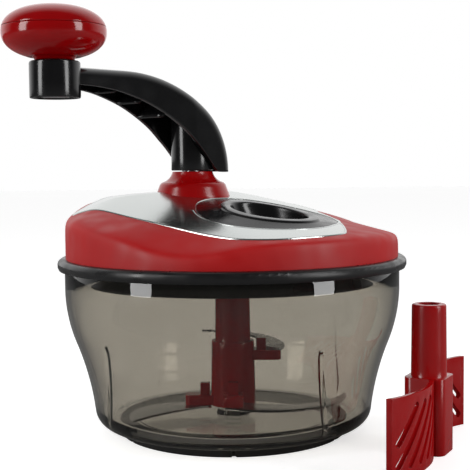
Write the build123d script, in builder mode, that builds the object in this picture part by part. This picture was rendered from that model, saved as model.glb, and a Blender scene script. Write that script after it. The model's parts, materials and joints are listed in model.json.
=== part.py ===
from build123d import *
import math
import os

# Crank food chopper: a clear bowl with three curved blades on a centre shaft, and a geared
# lid whose crank turns that shaft three times for each turn of the handle.
# Millimetres. The origin is on the table, on the bowl's axis, and the front is -Y.

# ---- general clearances ----
RUN = 0.08          # radial clearance of a turning fit
SEAT = 0.1          # clearance round a piece let into another
LOOSE = 0.3         # gap between pieces of different bodies that don't touch

# ---- bowl ----
BOWL_WALL = 2.6
FLOOR_UNDER = 5.0   # height of the bowl's underside above the table
FLOOR_TOP = 9.0
FOOT_Z = 13.0       # the wall angle FOOT_LEAN is measured at this height
FOOT_LEAN = 6.8     # wall angle from the vertical, just above the floor corner
WAIST_Z = 51.0      # height where the wall turns back towards the vertical
WAIST_LEAN = 21.8   # wall angle there
SHOULDER_Z = 80.0   # the wall is vertical above this height
RIM_R = 91.2
RIM_Z = 92.0
CORNER_OUT = 9.0    # radius of the floor corner, outside and inside
CORNER_IN = 8.0
BAFFLE_COUNT = 4
BAFFLE_ANGLE = -53.0     # direction of the first baffle rib
BAFFLE_TOP = 56.0
BAFFLE_DEPTH = 3.0
BAFFLE_FOOT = 3.6        # width of a baffle rib at the floor
BAFFLE_TIP = 1.0         # and at its top
BOSS_R = 8.6        # boss round the spindle
BOSS_TOP = 11.5
SPINDLE_R = 4.0
SPINDLE_TOP = 50.0
SPINDLE_ROOT = 6.5

# ---- non-slip ring ----
RING_OUT = 62.8
RING_IN = 55.0
RING_DRAFT = 0.9    # the outside is this much smaller at the table
FOOT_WALL = 2.4     # wall under the bowl that the ring grips
FOOT_LIFT = 1.6     # gap from that wall to the table
LUG_COUNT = 6
LUG_WIDTH = 1.8
LUG_FOOT = 1.2

# ---- blade shaft ----
SHAFT_BOTTOM = 14.0
SHAFT_STEP = 48.8
SHAFT_TOP = 84.5
SHAFT_FOOT_R = 12.4
SHAFT_SHOULDER_R = 11.7
SHAFT_NECK_R = 9.8
SHAFT_TOP_R = 9.3
STEEL = 1.2         # blade thickness
BEVEL = 0.8
LEDGE_WIDTH = 11.0
LEDGE_THICK = 5.2
LEDGE_REACH = 26.5
POST_SIDE = 5.2
POST_HEIGHT = 6.4
POST_R = 15.6       # distance of each post from the shaft's axis
STAKE_HEAD = 0.8    # flattened end of a post under its blade
TIP_R = 65.0
UPPER_Z = 43.6      # the upper blade lies on its ledge
MIDDLE_Z = 14.4     # the middle blade lies under its ledge
LOWER_Z = 17.6      # the lower blade lies under its ledge

# ---- lid ----
LID_R = 95.0
LID_UNDER = 90.3    # underside of the black rim
LID_SEAM = 96.1     # the red cover stands on the black rim here
LID_BEAD = 2.8      # rounding of the rim's edge
SKIRT_R = 86.0
SKIRT_BOTTOM = 82.6
SKIRT_WALL = 2.0
PLATE_UNDER = 88.6
PLATE_THICK = 2.0
COVER_R = 90.6
COVER_WALL = 2.5
LOCATOR = 3.0       # height of the rib that centres the cover
SEAL_WALL = 1.6
CENTRE_DISTANCE = 32.0   # crank axis to bowl axis
HUB_ANGLE = 133.5        # direction of the crank axis, seen from the bowl axis
SCREW_R = 1.5
SCREW_HEAD_R = 3.2
SCREW_HEAD = 1.8
SCREW_LENGTH = 9.0
SCREW_CIRCLE = 77.0
SCREW_SPREAD = 50.0      # angle of each screw from the line through both axes
BOSS_WALL = 2.6

# ---- crown of the lid ----
CROWN_FOOT = 88.0
CROWN_TOP = 150.0
RIDGE_Z = 130.5     # height of the crown over the crank axis
RIDGE_FALL = 0.17   # slope of the crown towards the pour hole
RIDGE_R = 357.0     # radius of the crown across that slope
DOME_R = 555.0      # radius of the dome round the crank axis
DOME_Z = 130.8
SCOOP_R = 150.0     # radius of the three scooped flanks
SCOOP_SLOPE = 0.57
SCOOP_SPREAD = 57.0      # angle of a front flank from the pour hole's direction
SCOOP_LEVEL = 102.7      # height of a front flank at the wall
SCOOP_BACK_LEVEL = 112.0
CORNER_SPREAD = 120.0    # angle of a shoulder from the pour hole's direction
CORNER_SLOPE = 0.46
CORNER_BEND_R = 66.0     # the shoulders begin at this radius and height
CORNER_BEND_Z = 128.3

# ---- chrome trim plate: its corners and the middles of its sides, as radius and direction ----
TRIM_THICK = 1.0
TRIM_PROUD = 0.15
TRIM_CORNER = 7.0
TRIM_OUTLINE = (
    ((82.5, 190.5), (64.5, 233.5)),
    ((79.0, 270.0), (84.3, 281.0)),
    ((84.3, 294.0), (84.3, 301.5)),
    ((82.0, 314.0), (60.5, 341.0)),
    ((52.0, 20.0), (65.0, 45.0)),
    ((80.0, 70.0), (59.0, 133.5)),
)

# ---- pour insert ----
LEAF_TIPS = ((30.3, 232.5), (64.0, 324.0))     # the pointed ends of its outline
LEAF_SIDES = ((65.3, 285.0), (23.5, 48.5))     # the middles of its two curved sides
INSERT_PROUD = 0.4
LIP_WIDTH = 4.5
LIP_PROUD = 1.0
POUR_OFFSET = 29.0  # centre of the pour hole from the bowl axis
POUR_LONG = 26.5    # half lengths of the oval at the top
POUR_SHORT = 20.5
THROAT_OFFSET = 33.8
THROAT_LONG = 19.6  # half lengths of the oval further down
THROAT_SHORT = 17.6
MOUTH_Z = 126.0
THROAT_Z = 104.0
THROAT_BOTTOM = 86.6
POUR_WALL = 1.8

# ---- collar and bushes ----
COLLAR_R = 20.6
COLLAR_FLARE = 0.5
COLLAR_FLARE_Z = 129.8
COLLAR_SHOULDER_R = 18.7
COLLAR_SHOULDER_Z = 134.8
COLLAR_TOP_R = 11.4
COLLAR_TOP = 142.2
COLLAR_FOOT = 120.0
BUSH_WALL = 2.5
CRANK_BUSH_Z = 108.0
PINION_BUSH_Z = 85.8
PINION_BUSH_TOP = 93.1

# ---- gears and shafts ----
MODULE = 1.0
DRIVE_TEETH = 48
PINION_TEETH = 16
PRESSURE_ANGLE = 20.0
BACKLASH = 0.12
GEAR_Z = 94.5
GEAR_WIDTH = 7.0
GEAR_WEB = 3.0
GEAR_RIM = 3.5
GEAR_HUB_R = 9.0
GEAR_HUB_TOP = 104.0
GEAR_HOLES = 6
GEAR_HOLE_R = 3.6
CRANK_R = 5.0       # crank shaft in its bush
SQUARE = 7.0        # square ends of the crank shaft
SQUARE_TOP = 164.0
PIVOT_R = 4.0
PIVOT_BOTTOM = 89.9
PIVOT_CUP = 93.2
CLIP_THICK = 0.8
CLIP_R = 6.2
CLIP_GROOVE = 0.6
PINION_SHAFT_R = 5.5
PINION_PIN_R = 3.2
PINION_PIN_TOP = 108.0
SPIGOT_FLATS = 10.0
SPIGOT_LENGTH = 11.5
SPIGOT_PLAY = 0.15

# ---- crank ----
CRANK_LENGTH = 96.8
CRANK_ANGLE = -132.6     # direction of the arm, seen from above
ARM_BOTTOM = 141.9
ARM_TOP = 193.2
ARM_BACK = 15.8     # the arm's back is this far behind the crank axis
ARM_BACK_R = 42.0   # radius of the back, up to ARM_BACK_TURN degrees round
ARM_BACK_TURN = 55.0
ARM_UNDER = 187.0   # height of the arm's underside by the knob
ARM_UNDER_S = 84.0  # the underside starts to fall this far out
ARM_UNDER_R = 111.0
ARM_HEEL_S = 3.0    # the underside's curve ends this far out
ARM_TOE_S = -7.7    # foremost point of the arm's bottom edge
ARM_WIDTH = 25.0
ARM_NOSE_WIDTH = 15.0
ARM_PARALLEL = 12.0 # the width tapers beyond this distance
ARM_WALL = 2.2
ARM_EDGE = 5.0      # rounding of the two long edges along its back and top
ARM_STRIP = 10.0    # height of the front wall, which leaves the channel open to the front
ARM_RIB = 1.2
ARM_RIBS = (28.0, 44.0, 60.0)
ARM_RIB_LEAN = 25.0
HUB_R = 12.0
HUB_BOTTOM = 142.8
SOCKET_R = 12.8
SOCKET_BOTTOM = 179.8
SOCKET_TOP = 198.2
AXLE_R = 3.0
AXLE_HEAD_R = 7.0
AXLE_HEAD = 2.0
AXLE_INSET = 0.6

# ---- knob ----
KNOB_R = 26.2
KNOB_NECK_R = 10.0
KNOB_WAIST_R = 10.9
KNOB_WAIST_Z = 200.6
KNOB_WIDEST = 213.6
KNOB_BELLY = 14.5   # depth below the widest line
KNOB_TOP_EDGE = 8.0 # radius of the edge above the widest line
KNOB_LOW_EDGE = 9.0 # and below it
KNOB_SEAM = 216.4
KNOB_TOP = 226.3
KNOB_WALL = 2.6
KNOB_HUB_R = 7.5
KNOB_HUB_TOP = 207.6
WASHER_R = 6.5
WASHER_THICK = 1.0

# ---- mixing paddle ----
PADDLE_X = 99.0
PADDLE_Y = -52.0
PADDLE_ANGLE = 62.0
PADDLE_SPAN = 120.0
PADDLE_HEIGHT = 38.5
PADDLE_TOP = 75.0
PADDLE_THICK = 2.4
PADDLE_BEND_R = 62.0
PADDLE_HUB = 21.0
PADDLE_TUBE_R = 9.4
SLOT_WIDTH = 3.4
SLOT_PITCH = 8.8
SLOT_LEAN = 40.0
SLOT_COUNT = 6
SLOT_MARGIN = 4.0


def polar(radius, degrees, centre=(0.0, 0.0)):
    """A point in the plan, at a radius and a direction from a centre."""
    angle = math.radians(degrees)
    return (centre[0] + radius * math.cos(angle), centre[1] + radius * math.sin(angle))


HUB = polar(CENTRE_DISTANCE, HUB_ANGLE)
POUR_ANGLE = HUB_ANGLE - 180.0
POUR = polar(POUR_OFFSET, POUR_ANGLE)
THROAT = polar(THROAT_OFFSET, POUR_ANGLE)
KNOB = polar(CRANK_LENGTH, CRANK_ANGLE, HUB)
SCREW_ANGLES = (
    POUR_ANGLE - SCREW_SPREAD,
    POUR_ANGLE + SCREW_SPREAD,
    HUB_ANGLE - SCREW_SPREAD,
    HUB_ANGLE + SCREW_SPREAD,
)
SCREWS = [polar(SCREW_CIRCLE, angle) for angle in SCREW_ANGLES]


def save(solid, name):
    """Label a finished piece and write it."""
    solid.label = name
    export_step(solid, "parts/" + name + ".step")


def turned(points):
    """A solid of revolution about the bowl axis, from (radius, height) points."""
    with BuildPart() as piece:
        with BuildSketch(Plane.XZ):
            with BuildLine():
                Polyline(*points, close=True)
            make_face()
        revolve(axis=Axis.Z)
    return piece.part


os.makedirs("parts", exist_ok=True)


# ---------------------------------------------------------------------------
# Bowl: a thin turned wall, made of an outer form and a cavity of the same law
# ---------------------------------------------------------------------------
def bowl_form(inset, floor, corner):
    """The solid inside the bowl's outer line moved inwards by inset, down to floor.

    The wall's side view is two tangent arcs: the lower leans further and further out up to
    the waist, the upper turns back to the vertical at the shoulder."""
    waist = math.radians(WAIST_LEAN)
    foot = math.radians(FOOT_LEAN)
    upper_r = (SHOULDER_Z - WAIST_Z) / math.sin(waist)
    lower_r = (WAIST_Z - FOOT_Z) / (math.sin(waist) - math.sin(foot))
    upper_centre = RIM_R - upper_r
    lower_centre = upper_centre + (upper_r + lower_r) * math.cos(waist)
    lower_z = WAIST_Z - lower_r * math.sin(waist)
    upper_r = upper_r - inset
    lower_r = lower_r + inset
    start = math.asin((floor - lower_z) / lower_r)

    def lower(angle):
        return (lower_centre - lower_r * math.cos(angle), lower_z + lower_r * math.sin(angle))

    def upper(angle):
        return (upper_centre + upper_r * math.cos(angle), SHOULDER_Z - upper_r * math.sin(angle))

    with BuildPart() as form:
        with BuildSketch(Plane.XZ) as half:
            with BuildLine():
                Polyline((0, RIM_Z), (0, floor), lower(start))
                ThreePointArc(lower(start), lower((start + waist) / 2), lower(waist))
                ThreePointArc(upper(waist), upper(waist / 2), upper(0.0))
                Polyline(upper(0.0), (upper(0.0)[0], RIM_Z), (0, RIM_Z))
            make_face()
            fillet(half.vertices().group_by(Axis.Y)[0].sort_by(Axis.X)[-1], corner)
        revolve(axis=Axis.Z)
    return form.part


bowl_outside = bowl_form(0.0, FLOOR_UNDER, CORNER_OUT)
bowl_inside = bowl_form(BOWL_WALL, FLOOR_TOP, CORNER_IN)
baffle_inside = bowl_form(BOWL_WALL + BAFFLE_DEPTH, FLOOR_TOP - 1, CORNER_IN)

# baffle ribs on the inside of the wall, wider towards the floor, that stop the food turning
with BuildPart() as baffles:
    for count in range(BAFFLE_COUNT):
        direction = BAFFLE_ANGLE + count * 360 / BAFFLE_COUNT
        facing = Plane(origin=(0, 0, 0), x_dir=(*polar(1, direction + 90), 0), z_dir=(*polar(1, direction), 0))
        with BuildSketch(facing):
            with BuildLine():
                Polyline(
                    (-BAFFLE_FOOT / 2, FLOOR_TOP - 1),
                    (BAFFLE_FOOT / 2, FLOOR_TOP - 1),
                    (BAFFLE_TIP / 2, BAFFLE_TOP),
                    (-BAFFLE_TIP / 2, BAFFLE_TOP),
                    close=True,
                )
            make_face()
        extrude(amount=RIM_R)
    add(bowl_outside, mode=Mode.INTERSECT)
    add(baffle_inside, mode=Mode.SUBTRACT)

with BuildPart() as bowl:
    add(bowl_outside)
    add(bowl_inside, mode=Mode.SUBTRACT)
    add(baffles.part)
    # boss round the spindle
    with BuildSketch(Plane.XY.offset(FLOOR_TOP - 1)):
        Circle(BOSS_R)
    extrude(amount=BOSS_TOP - FLOOR_TOP + 1, taper=8)
    # wall under the floor that the non-slip ring grips, and lugs that hold it outside
    with BuildSketch(Plane.XY.offset(FOOT_LIFT)):
        Circle(RING_IN - SEAT)
        Circle(RING_IN - SEAT - FOOT_WALL, mode=Mode.SUBTRACT)
    extrude(amount=FLOOR_UNDER - FOOT_LIFT)
    with BuildSketch(Plane.XY.offset(LUG_FOOT)):
        with PolarLocations(RING_OUT - 1.0, LUG_COUNT, start_angle=30):
            Rectangle(3.4, LUG_WIDTH)
    extrude(amount=FLOOR_UNDER - LUG_FOOT)
    with BuildSketch(Plane.XY.offset(SPINDLE_ROOT)):
        Circle(SPINDLE_R)
    extrude(amount=BOSS_TOP, mode=Mode.SUBTRACT)
save(bowl.part, "bowl")

with BuildPart() as base_ring:
    add(turned([(RING_IN, 0), (RING_OUT - RING_DRAFT, 0), (RING_OUT, FLOOR_UNDER), (RING_IN, FLOOR_UNDER)]))
    with BuildSketch():
        with PolarLocations(RING_OUT - 1.0, LUG_COUNT, start_angle=30):
            Rectangle(3.4 + 2 * SEAT, LUG_WIDTH + 2 * SEAT)
    extrude(amount=FLOOR_UNDER, mode=Mode.SUBTRACT)
save(base_ring.part, "base_ring")

with BuildPart() as spindle:
    with BuildSketch(Plane.XY.offset(SPINDLE_ROOT)):
        Circle(SPINDLE_R)
    extrude(amount=SPINDLE_TOP - SPINDLE_ROOT)
    fillet(spindle.edges().group_by(Axis.Z)[-1], 1.5)
save(spindle.part, "spindle")


# ---------------------------------------------------------------------------
# Blade shaft with its ledges and posts, and the three blades
# ---------------------------------------------------------------------------
def ledge(direction, bottom, thick):
    """A ledge that stands out of the shaft, with a rounded nose."""
    with BuildPart() as piece:
        with BuildSketch(Plane.XY.offset(bottom).rotated((0, 0, direction))) as plan:
            Rectangle(LEDGE_REACH, LEDGE_WIDTH, align=(Align.MIN, Align.CENTER))
            fillet(plan.vertices().group_by(Axis.X)[-1], 3.0)
        extrude(amount=thick)
    return piece.part


def post(direction, bottom, height, side=POST_SIDE):
    """A square post beside the shaft that a blade's root is pushed over."""
    with BuildPart() as piece:
        with BuildSketch(Plane.XY.offset(bottom).rotated((0, 0, direction))):
            with Locations((POST_R, 0)):
                Rectangle(side, side)
        extrude(amount=height)
    return piece.part


def blade(direction, bottom, sweep, outer, inner):
    """A sickle of sheet steel. Its root lies along the ledge, its tip is swept round by sweep
    degrees, and outer and inner are the middles of its two edges as radius and direction."""
    with BuildPart() as piece:
        with BuildSketch(Plane.XY.offset(bottom).rotated((0, 0, direction))) as plan:
            with BuildLine():
                root = (LEDGE_REACH, -LEDGE_WIDTH / 2 + 1)
                heel = (SHAFT_FOOT_R + 1, LEDGE_WIDTH / 2)
                tip = polar(TIP_R, sweep)
                ThreePointArc(root, polar(*outer), tip)
                ThreePointArc(tip, polar(*inner), heel)
                Polyline(heel, (SHAFT_FOOT_R + 1, -LEDGE_WIDTH / 2 + 1), root)
            make_face()
            with Locations((POST_R, 0)):
                Rectangle(POST_SIDE + 2 * SEAT, POST_SIDE + 2 * SEAT, mode=Mode.SUBTRACT)
        extrude(amount=STEEL)
        edge = piece.faces().sort_by(Axis.Z)[-1].outer_wire().edges().sort_by(SortBy.LENGTH)[-1]
        chamfer(edge, BEVEL)
    return piece.part


blade_upper = blade(0.0, UPPER_Z, 107.0, (47.0, 50.0), (31.0, 56.0))
save(blade_upper, "blade_upper")
blade_middle = blade(180.0, MIDDLE_Z - STEEL, 38.0, (51.0, 10.0), (39.4, 30.5))
save(blade_middle, "blade_middle")
blade_lower = blade(270.0, LOWER_Z - STEEL, 103.0, (44.7, 42.0), (29.0, 48.0))
save(blade_lower, "blade_lower")

with BuildPart() as blade_shaft:
    add(
        turned(
            [
                (0, SHAFT_BOTTOM),
                (SHAFT_FOOT_R, SHAFT_BOTTOM),
                (SHAFT_SHOULDER_R, SHAFT_STEP),
                (SHAFT_NECK_R, SHAFT_STEP),
                (SHAFT_TOP_R, SHAFT_TOP),
                (0, SHAFT_TOP),
            ]
        )
    )
    fillet(blade_shaft.edges().group_by(Axis.Z)[-1], 0.8)
    add(ledge(0.0, UPPER_Z - LEDGE_THICK, LEDGE_THICK))
    add(post(0.0, UPPER_Z, POST_HEIGHT))
    for direction, level in ((180.0, MIDDLE_Z), (270.0, LOWER_Z)):
        add(ledge(direction, level, LEDGE_THICK))
        add(post(direction, level + LEDGE_THICK, POST_HEIGHT))
        add(post(direction, level - STEEL, STEEL))
        add(post(direction, level - STEEL - STAKE_HEAD, STAKE_HEAD, POST_SIDE + 1.6))
    # bore for the spindle, and the hexagonal mouth for the lid's spigot
    with BuildSketch(Plane.XY.offset(SHAFT_BOTTOM)):
        Circle(SPINDLE_R + RUN)
    extrude(amount=SPINDLE_TOP + LOOSE - SHAFT_BOTTOM, mode=Mode.SUBTRACT)
    with BuildSketch(Plane.XY.offset(SHAFT_TOP - SPIGOT_LENGTH)):
        RegularPolygon(SPIGOT_FLATS / 2 + SPIGOT_PLAY, 6, major_radius=False)
    extrude(amount=SPIGOT_LENGTH, mode=Mode.SUBTRACT)
save(blade_shaft.part, "blade_shaft")


# ---------------------------------------------------------------------------
# Crown of the lid: one law for the outside, the inside, the trim plate and the insert
# ---------------------------------------------------------------------------
def crown(inset):
    """The lid's rounded-triangle top as a solid, with every surface moved inwards by inset.

    A round wall is cut by a long roof that falls towards the pour hole, by a dome round the
    crank axis, by a flat shoulder at two corners and by three scooped flanks."""
    fall = math.atan(RIDGE_FALL)
    along = (*polar(math.cos(fall), POUR_ANGLE), -math.sin(fall))
    across = (*polar(1, POUR_ANGLE + 90), 0)
    roof = Plane(origin=(*HUB, RIDGE_Z), x_dir=across, z_dir=along)
    with BuildPart() as form:
        with BuildSketch(Plane.XY.offset(CROWN_FOOT)):
            Circle(COVER_R - inset)
        extrude(amount=CROWN_TOP - CROWN_FOOT)
        with BuildSketch(roof):
            with Locations((0, -RIDGE_R)):
                Circle(RIDGE_R - inset)
        extrude(amount=2 * LID_R, both=True, mode=Mode.INTERSECT)
        with Locations((*HUB, DOME_Z - DOME_R)):
            Sphere(DOME_R - inset, rotation=(90, 0, 0), mode=Mode.INTERSECT)
        for direction in (POUR_ANGLE - CORNER_SPREAD, POUR_ANGLE + CORNER_SPREAD):
            normal = Vector(*polar(CORNER_SLOPE, direction), 1).normalized()
            bend = Vector(*polar(CORNER_BEND_R, direction), CORNER_BEND_Z) - normal * inset
            split(bisect_by=Plane(origin=bend, z_dir=normal), keep=Keep.BOTTOM)
        for direction, level in (
            (POUR_ANGLE - SCOOP_SPREAD, SCOOP_LEVEL),
            (POUR_ANGLE + SCOOP_SPREAD, SCOOP_LEVEL),
            (HUB_ANGLE, SCOOP_BACK_LEVEL),
        ):
            lean = math.atan(SCOOP_SLOPE)
            up = Vector(*polar(math.sin(lean), direction), math.cos(lean))
            inwards = (*polar(-math.cos(lean), direction), math.sin(lean))
            axis = Vector(*polar(COVER_R, direction), level) + up * SCOOP_R
            with BuildSketch(Plane(origin=axis, x_dir=(*polar(1, direction + 90), 0), z_dir=inwards)):
                Circle(SCOOP_R + inset)
            extrude(amount=SCOOP_R, both=True, mode=Mode.SUBTRACT)
    return form.part


def trim_outline(grow):
    """The trim plate's outline seen from above, widened by grow."""
    corners = [polar(corner[0] + grow, corner[1]) for corner, side in TRIM_OUTLINE]
    sides = [polar(side[0] + grow, side[1]) for corner, side in TRIM_OUTLINE]
    with BuildSketch() as plan:
        with BuildLine():
            for index in range(len(corners)):
                ThreePointArc(corners[index], sides[index], corners[(index + 1) % len(corners)])
        make_face()
        fillet(plan.vertices(), TRIM_CORNER)
    return plan.sketch


def leaf_outline(grow):
    """The pour insert's leaf-shaped outline seen from above, widened by grow."""
    left, right = [polar(radius + grow, angle) for radius, angle in LEAF_TIPS]
    near, far = [polar(radius + grow, angle) for radius, angle in LEAF_SIDES]
    with BuildSketch() as plan:
        with BuildLine():
            ThreePointArc(left, near, right)
            ThreePointArc(right, far, left)
        make_face()
        fillet(plan.vertices(), 3.0)
    return plan.sketch


def prism(outline):
    """An upright prism on an outline, through the whole crown."""
    with BuildPart() as solid:
        with BuildSketch(Plane.XY.offset(CROWN_FOOT)):
            add(outline)
        extrude(amount=CROWN_TOP - CROWN_FOOT)
    return solid.part


def chute(grow, top=CROWN_TOP):
    """The pour hole as a solid, widened by grow: a wide oval mouth that narrows to a throat."""
    with BuildPart() as funnel:
        with BuildSketch(Plane.XY.offset(THROAT_BOTTOM)):
            with Locations(THROAT):
                Ellipse(THROAT_LONG + grow, THROAT_SHORT + grow, rotation=POUR_ANGLE)
        extrude(amount=THROAT_Z - THROAT_BOTTOM)
        with BuildSketch(Plane.XY.offset(THROAT_Z)):
            with Locations(THROAT):
                Ellipse(THROAT_LONG + grow, THROAT_SHORT + grow, rotation=POUR_ANGLE)
        with BuildSketch(Plane.XY.offset(MOUTH_Z)):
            with Locations(POUR):
                Ellipse(POUR_LONG + grow, POUR_SHORT + grow, rotation=POUR_ANGLE)
        loft()
        with BuildSketch(Plane.XY.offset(MOUTH_Z)):
            with Locations(POUR):
                Ellipse(POUR_LONG + grow, POUR_SHORT + grow, rotation=POUR_ANGLE)
        extrude(amount=top - MOUTH_Z)
    return funnel.part


crown_outside = crown(0.0)
crown_inside = crown(COVER_WALL)
trim_top = crown(-TRIM_PROUD)
trim_bed = crown(TRIM_THICK - TRIM_PROUD)
boss_limit = crown(COVER_WALL - 1.0)

# ---------------------------------------------------------------------------
# Lid base: black rim, skirt and the plate that carries the gears
# ---------------------------------------------------------------------------
RIM_GROOVE_R = RIM_R + 0.7
RIM_GROOVE_Z = RIM_Z + 0.6
plate_top = PLATE_UNDER + PLATE_THICK
locator_r = COVER_R - COVER_WALL - SEAT

with BuildPart() as lid_base:
    with BuildSketch(Plane.XZ) as rim_section:
        with BuildLine():
            Polyline(
                (0, PLATE_UNDER),
                (SKIRT_R - SKIRT_WALL, PLATE_UNDER),
                (SKIRT_R - SKIRT_WALL, SKIRT_BOTTOM),
                (SKIRT_R, SKIRT_BOTTOM),
                (SKIRT_R, RIM_GROOVE_Z),
                (RIM_GROOVE_R, RIM_GROOVE_Z),
                (RIM_GROOVE_R, LID_UNDER),
                (LID_R - 0.7, LID_UNDER),
                (LID_R, LID_UNDER + 1.6),
                (LID_R, LID_SEAM),
                (locator_r, LID_SEAM),
                (locator_r, LID_SEAM + LOCATOR),
                (locator_r - 2.0, LID_SEAM + LOCATOR),
                (SKIRT_R - SKIRT_WALL, LID_SEAM),
                (SKIRT_R - SKIRT_WALL, plate_top),
                (0, plate_top),
                close=True,
            )
        make_face()
        fillet(rim_section.vertices().sort_by_distance((LID_R, LID_SEAM))[0], LID_BEAD)
    revolve(axis=Axis.Z)
    # boss for the pinion's bush, cup for the crank shaft's lower end
    with BuildSketch(Plane.XY.offset(PINION_BUSH_Z - 0.6)):
        Circle(PINION_SHAFT_R + RUN + BUSH_WALL + BOSS_WALL)
    extrude(amount=PINION_BUSH_TOP - PINION_BUSH_Z)
    with BuildSketch(Plane.XY.offset(plate_top)):
        with Locations(HUB):
            Circle(PIVOT_R + RUN + BOSS_WALL)
    extrude(amount=PIVOT_CUP - plate_top)
    with BuildSketch(Plane.XY.offset(PIVOT_BOTTOM - RUN)):
        with Locations(HUB):
            Circle(PIVOT_R + RUN)
    extrude(amount=GEAR_Z, mode=Mode.SUBTRACT)
    with BuildSketch(Plane.XY.offset(PINION_BUSH_Z - 2)):
        Circle(PINION_SHAFT_R + RUN + BUSH_WALL)
    extrude(amount=GEAR_Z, mode=Mode.SUBTRACT)
    # opening for the pour insert's throat
    add(chute(POUR_WALL + SEAT), mode=Mode.SUBTRACT)
    with BuildSketch(Plane.XY.offset(PLATE_UNDER)):
        with Locations(THROAT):
            Ellipse(THROAT_LONG + POUR_WALL + SEAT, THROAT_SHORT + POUR_WALL + SEAT, rotation=POUR_ANGLE)
    extrude(amount=-5, mode=Mode.SUBTRACT)
    # clearance holes for the cover screws
    with BuildSketch(Plane.XY.offset(PLATE_UNDER)):
        with Locations(*SCREWS):
            Circle(SCREW_R + SEAT)
    extrude(amount=PLATE_THICK, mode=Mode.SUBTRACT)
save(lid_base.part, "lid_base")

with BuildPart() as lid_seal:
    add(
        turned(
            [
                (SKIRT_R + SEAT, LID_UNDER - 1.5),
                (SKIRT_R + SEAT + SEAL_WALL, LID_UNDER - 0.5),
                (SKIRT_R + SEAT + SEAL_WALL, RIM_GROOVE_Z - SEAT),
                (SKIRT_R + SEAT, RIM_GROOVE_Z - SEAT),
            ]
        )
    )
save(lid_seal.part, "lid_seal")

# ---------------------------------------------------------------------------
# Red cover: a thin shell with a bed for the trim plate, bosses and holes
# ---------------------------------------------------------------------------
with BuildPart() as cover_bosses:
    with BuildSketch(Plane.XY.offset(plate_top + SEAT)):
        with Locations(*SCREWS):
            Circle(SCREW_R + BOSS_WALL)
    extrude(amount=CROWN_TOP - plate_top)
    with BuildSketch(Plane.XY.offset(CRANK_BUSH_Z)):
        with Locations(HUB):
            Circle(CRANK_R + RUN + BUSH_WALL + BOSS_WALL)
    extrude(amount=CROWN_TOP - CRANK_BUSH_Z)
    with BuildSketch(Plane.XY.offset(GEAR_Z + GEAR_WIDTH + 2 * LOOSE)):
        Circle(PINION_PIN_R + RUN + BOSS_WALL)
    extrude(amount=CROWN_TOP - CRANK_BUSH_Z)
    add(boss_limit, mode=Mode.INTERSECT)

with BuildPart() as trim_bed_cut:
    add(prism(trim_outline(SEAT)))
    add(trim_bed, mode=Mode.SUBTRACT)

with BuildPart() as lid_cover:
    add(crown_outside)
    split(bisect_by=Plane.XY.offset(LID_SEAM), keep=Keep.TOP)
    add(crown_inside, mode=Mode.SUBTRACT)
    add(trim_bed_cut.part, mode=Mode.SUBTRACT)
    add(cover_bosses.part)
    add(chute(POUR_WALL + SEAT), mode=Mode.SUBTRACT)
    with BuildSketch(Plane.XY.offset(CRANK_BUSH_Z)):
        with Locations(HUB):
            Circle(CRANK_R + RUN + BUSH_WALL)
    extrude(amount=CROWN_TOP - CRANK_BUSH_Z, mode=Mode.SUBTRACT)
    with BuildSketch(Plane.XY.offset(GEAR_Z)):
        Circle(PINION_PIN_R + RUN)
    extrude(amount=PINION_PIN_TOP + 1 - GEAR_Z, mode=Mode.SUBTRACT)
    with BuildSketch(Plane.XY.offset(plate_top)):
        with Locations(*SCREWS):
            Circle(SCREW_R)
    extrude(amount=SCREW_LENGTH, mode=Mode.SUBTRACT)
save(lid_cover.part, "lid_cover")

bush_r = CRANK_R + RUN + BUSH_WALL
with BuildSketch() as trim_plan:
    add(trim_outline(0.0))
    add(leaf_outline(SEAT), mode=Mode.SUBTRACT)
    with Locations(HUB):
        Circle(bush_r + SEAT, mode=Mode.SUBTRACT)

with BuildPart() as trim_plate:
    add(prism(trim_plan.sketch))
    add(trim_top, mode=Mode.INTERSECT)
    add(trim_bed, mode=Mode.SUBTRACT)
save(trim_plate.part, "trim_plate")

# pour insert: a leaf-shaped flange on the trim bed, a raised lip and the chute
with BuildPart() as pour_lip:
    add(chute(LIP_WIDTH))
    add(prism(leaf_outline(0.0)), mode=Mode.INTERSECT)
    add(crown(-LIP_PROUD), mode=Mode.INTERSECT)
    add(trim_bed, mode=Mode.SUBTRACT)

with BuildPart() as pour_tube:
    add(chute(POUR_WALL))
    add(crown_outside, mode=Mode.INTERSECT)

with BuildPart() as pour_insert:
    add(prism(leaf_outline(0.0)))
    add(crown(-INSERT_PROUD), mode=Mode.INTERSECT)
    add(trim_bed, mode=Mode.SUBTRACT)
    add(pour_lip.part)
    add(pour_tube.part)
    add(chute(0.0), mode=Mode.SUBTRACT)
    with BuildSketch(Plane.XY.offset(THROAT_BOTTOM)):
        with Locations(THROAT):
            Ellipse(THROAT_LONG, THROAT_SHORT, rotation=POUR_ANGLE)
    extrude(amount=-2, mode=Mode.SUBTRACT)
save(pour_insert.part, "pour_insert")

with BuildPart() as lid_screws:
    with BuildSketch(Plane.XY.offset(PLATE_UNDER - SCREW_HEAD)):
        with Locations(*SCREWS):
            Circle(SCREW_HEAD_R)
    extrude(amount=SCREW_HEAD)
    with BuildSketch(Plane.XY.offset(PLATE_UNDER)):
        with Locations(*SCREWS):
            Circle(SCREW_R)
    extrude(amount=SCREW_LENGTH)
    # cross recess in each head
    with BuildSketch(Plane.XY.offset(PLATE_UNDER - SCREW_HEAD)):
        with Locations(*SCREWS):
            Rectangle(SCREW_HEAD_R, 0.8)
            Rectangle(0.8, SCREW_HEAD_R)
    extrude(amount=1.2, mode=Mode.SUBTRACT)
save(lid_screws.part, "lid_screws")

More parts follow.
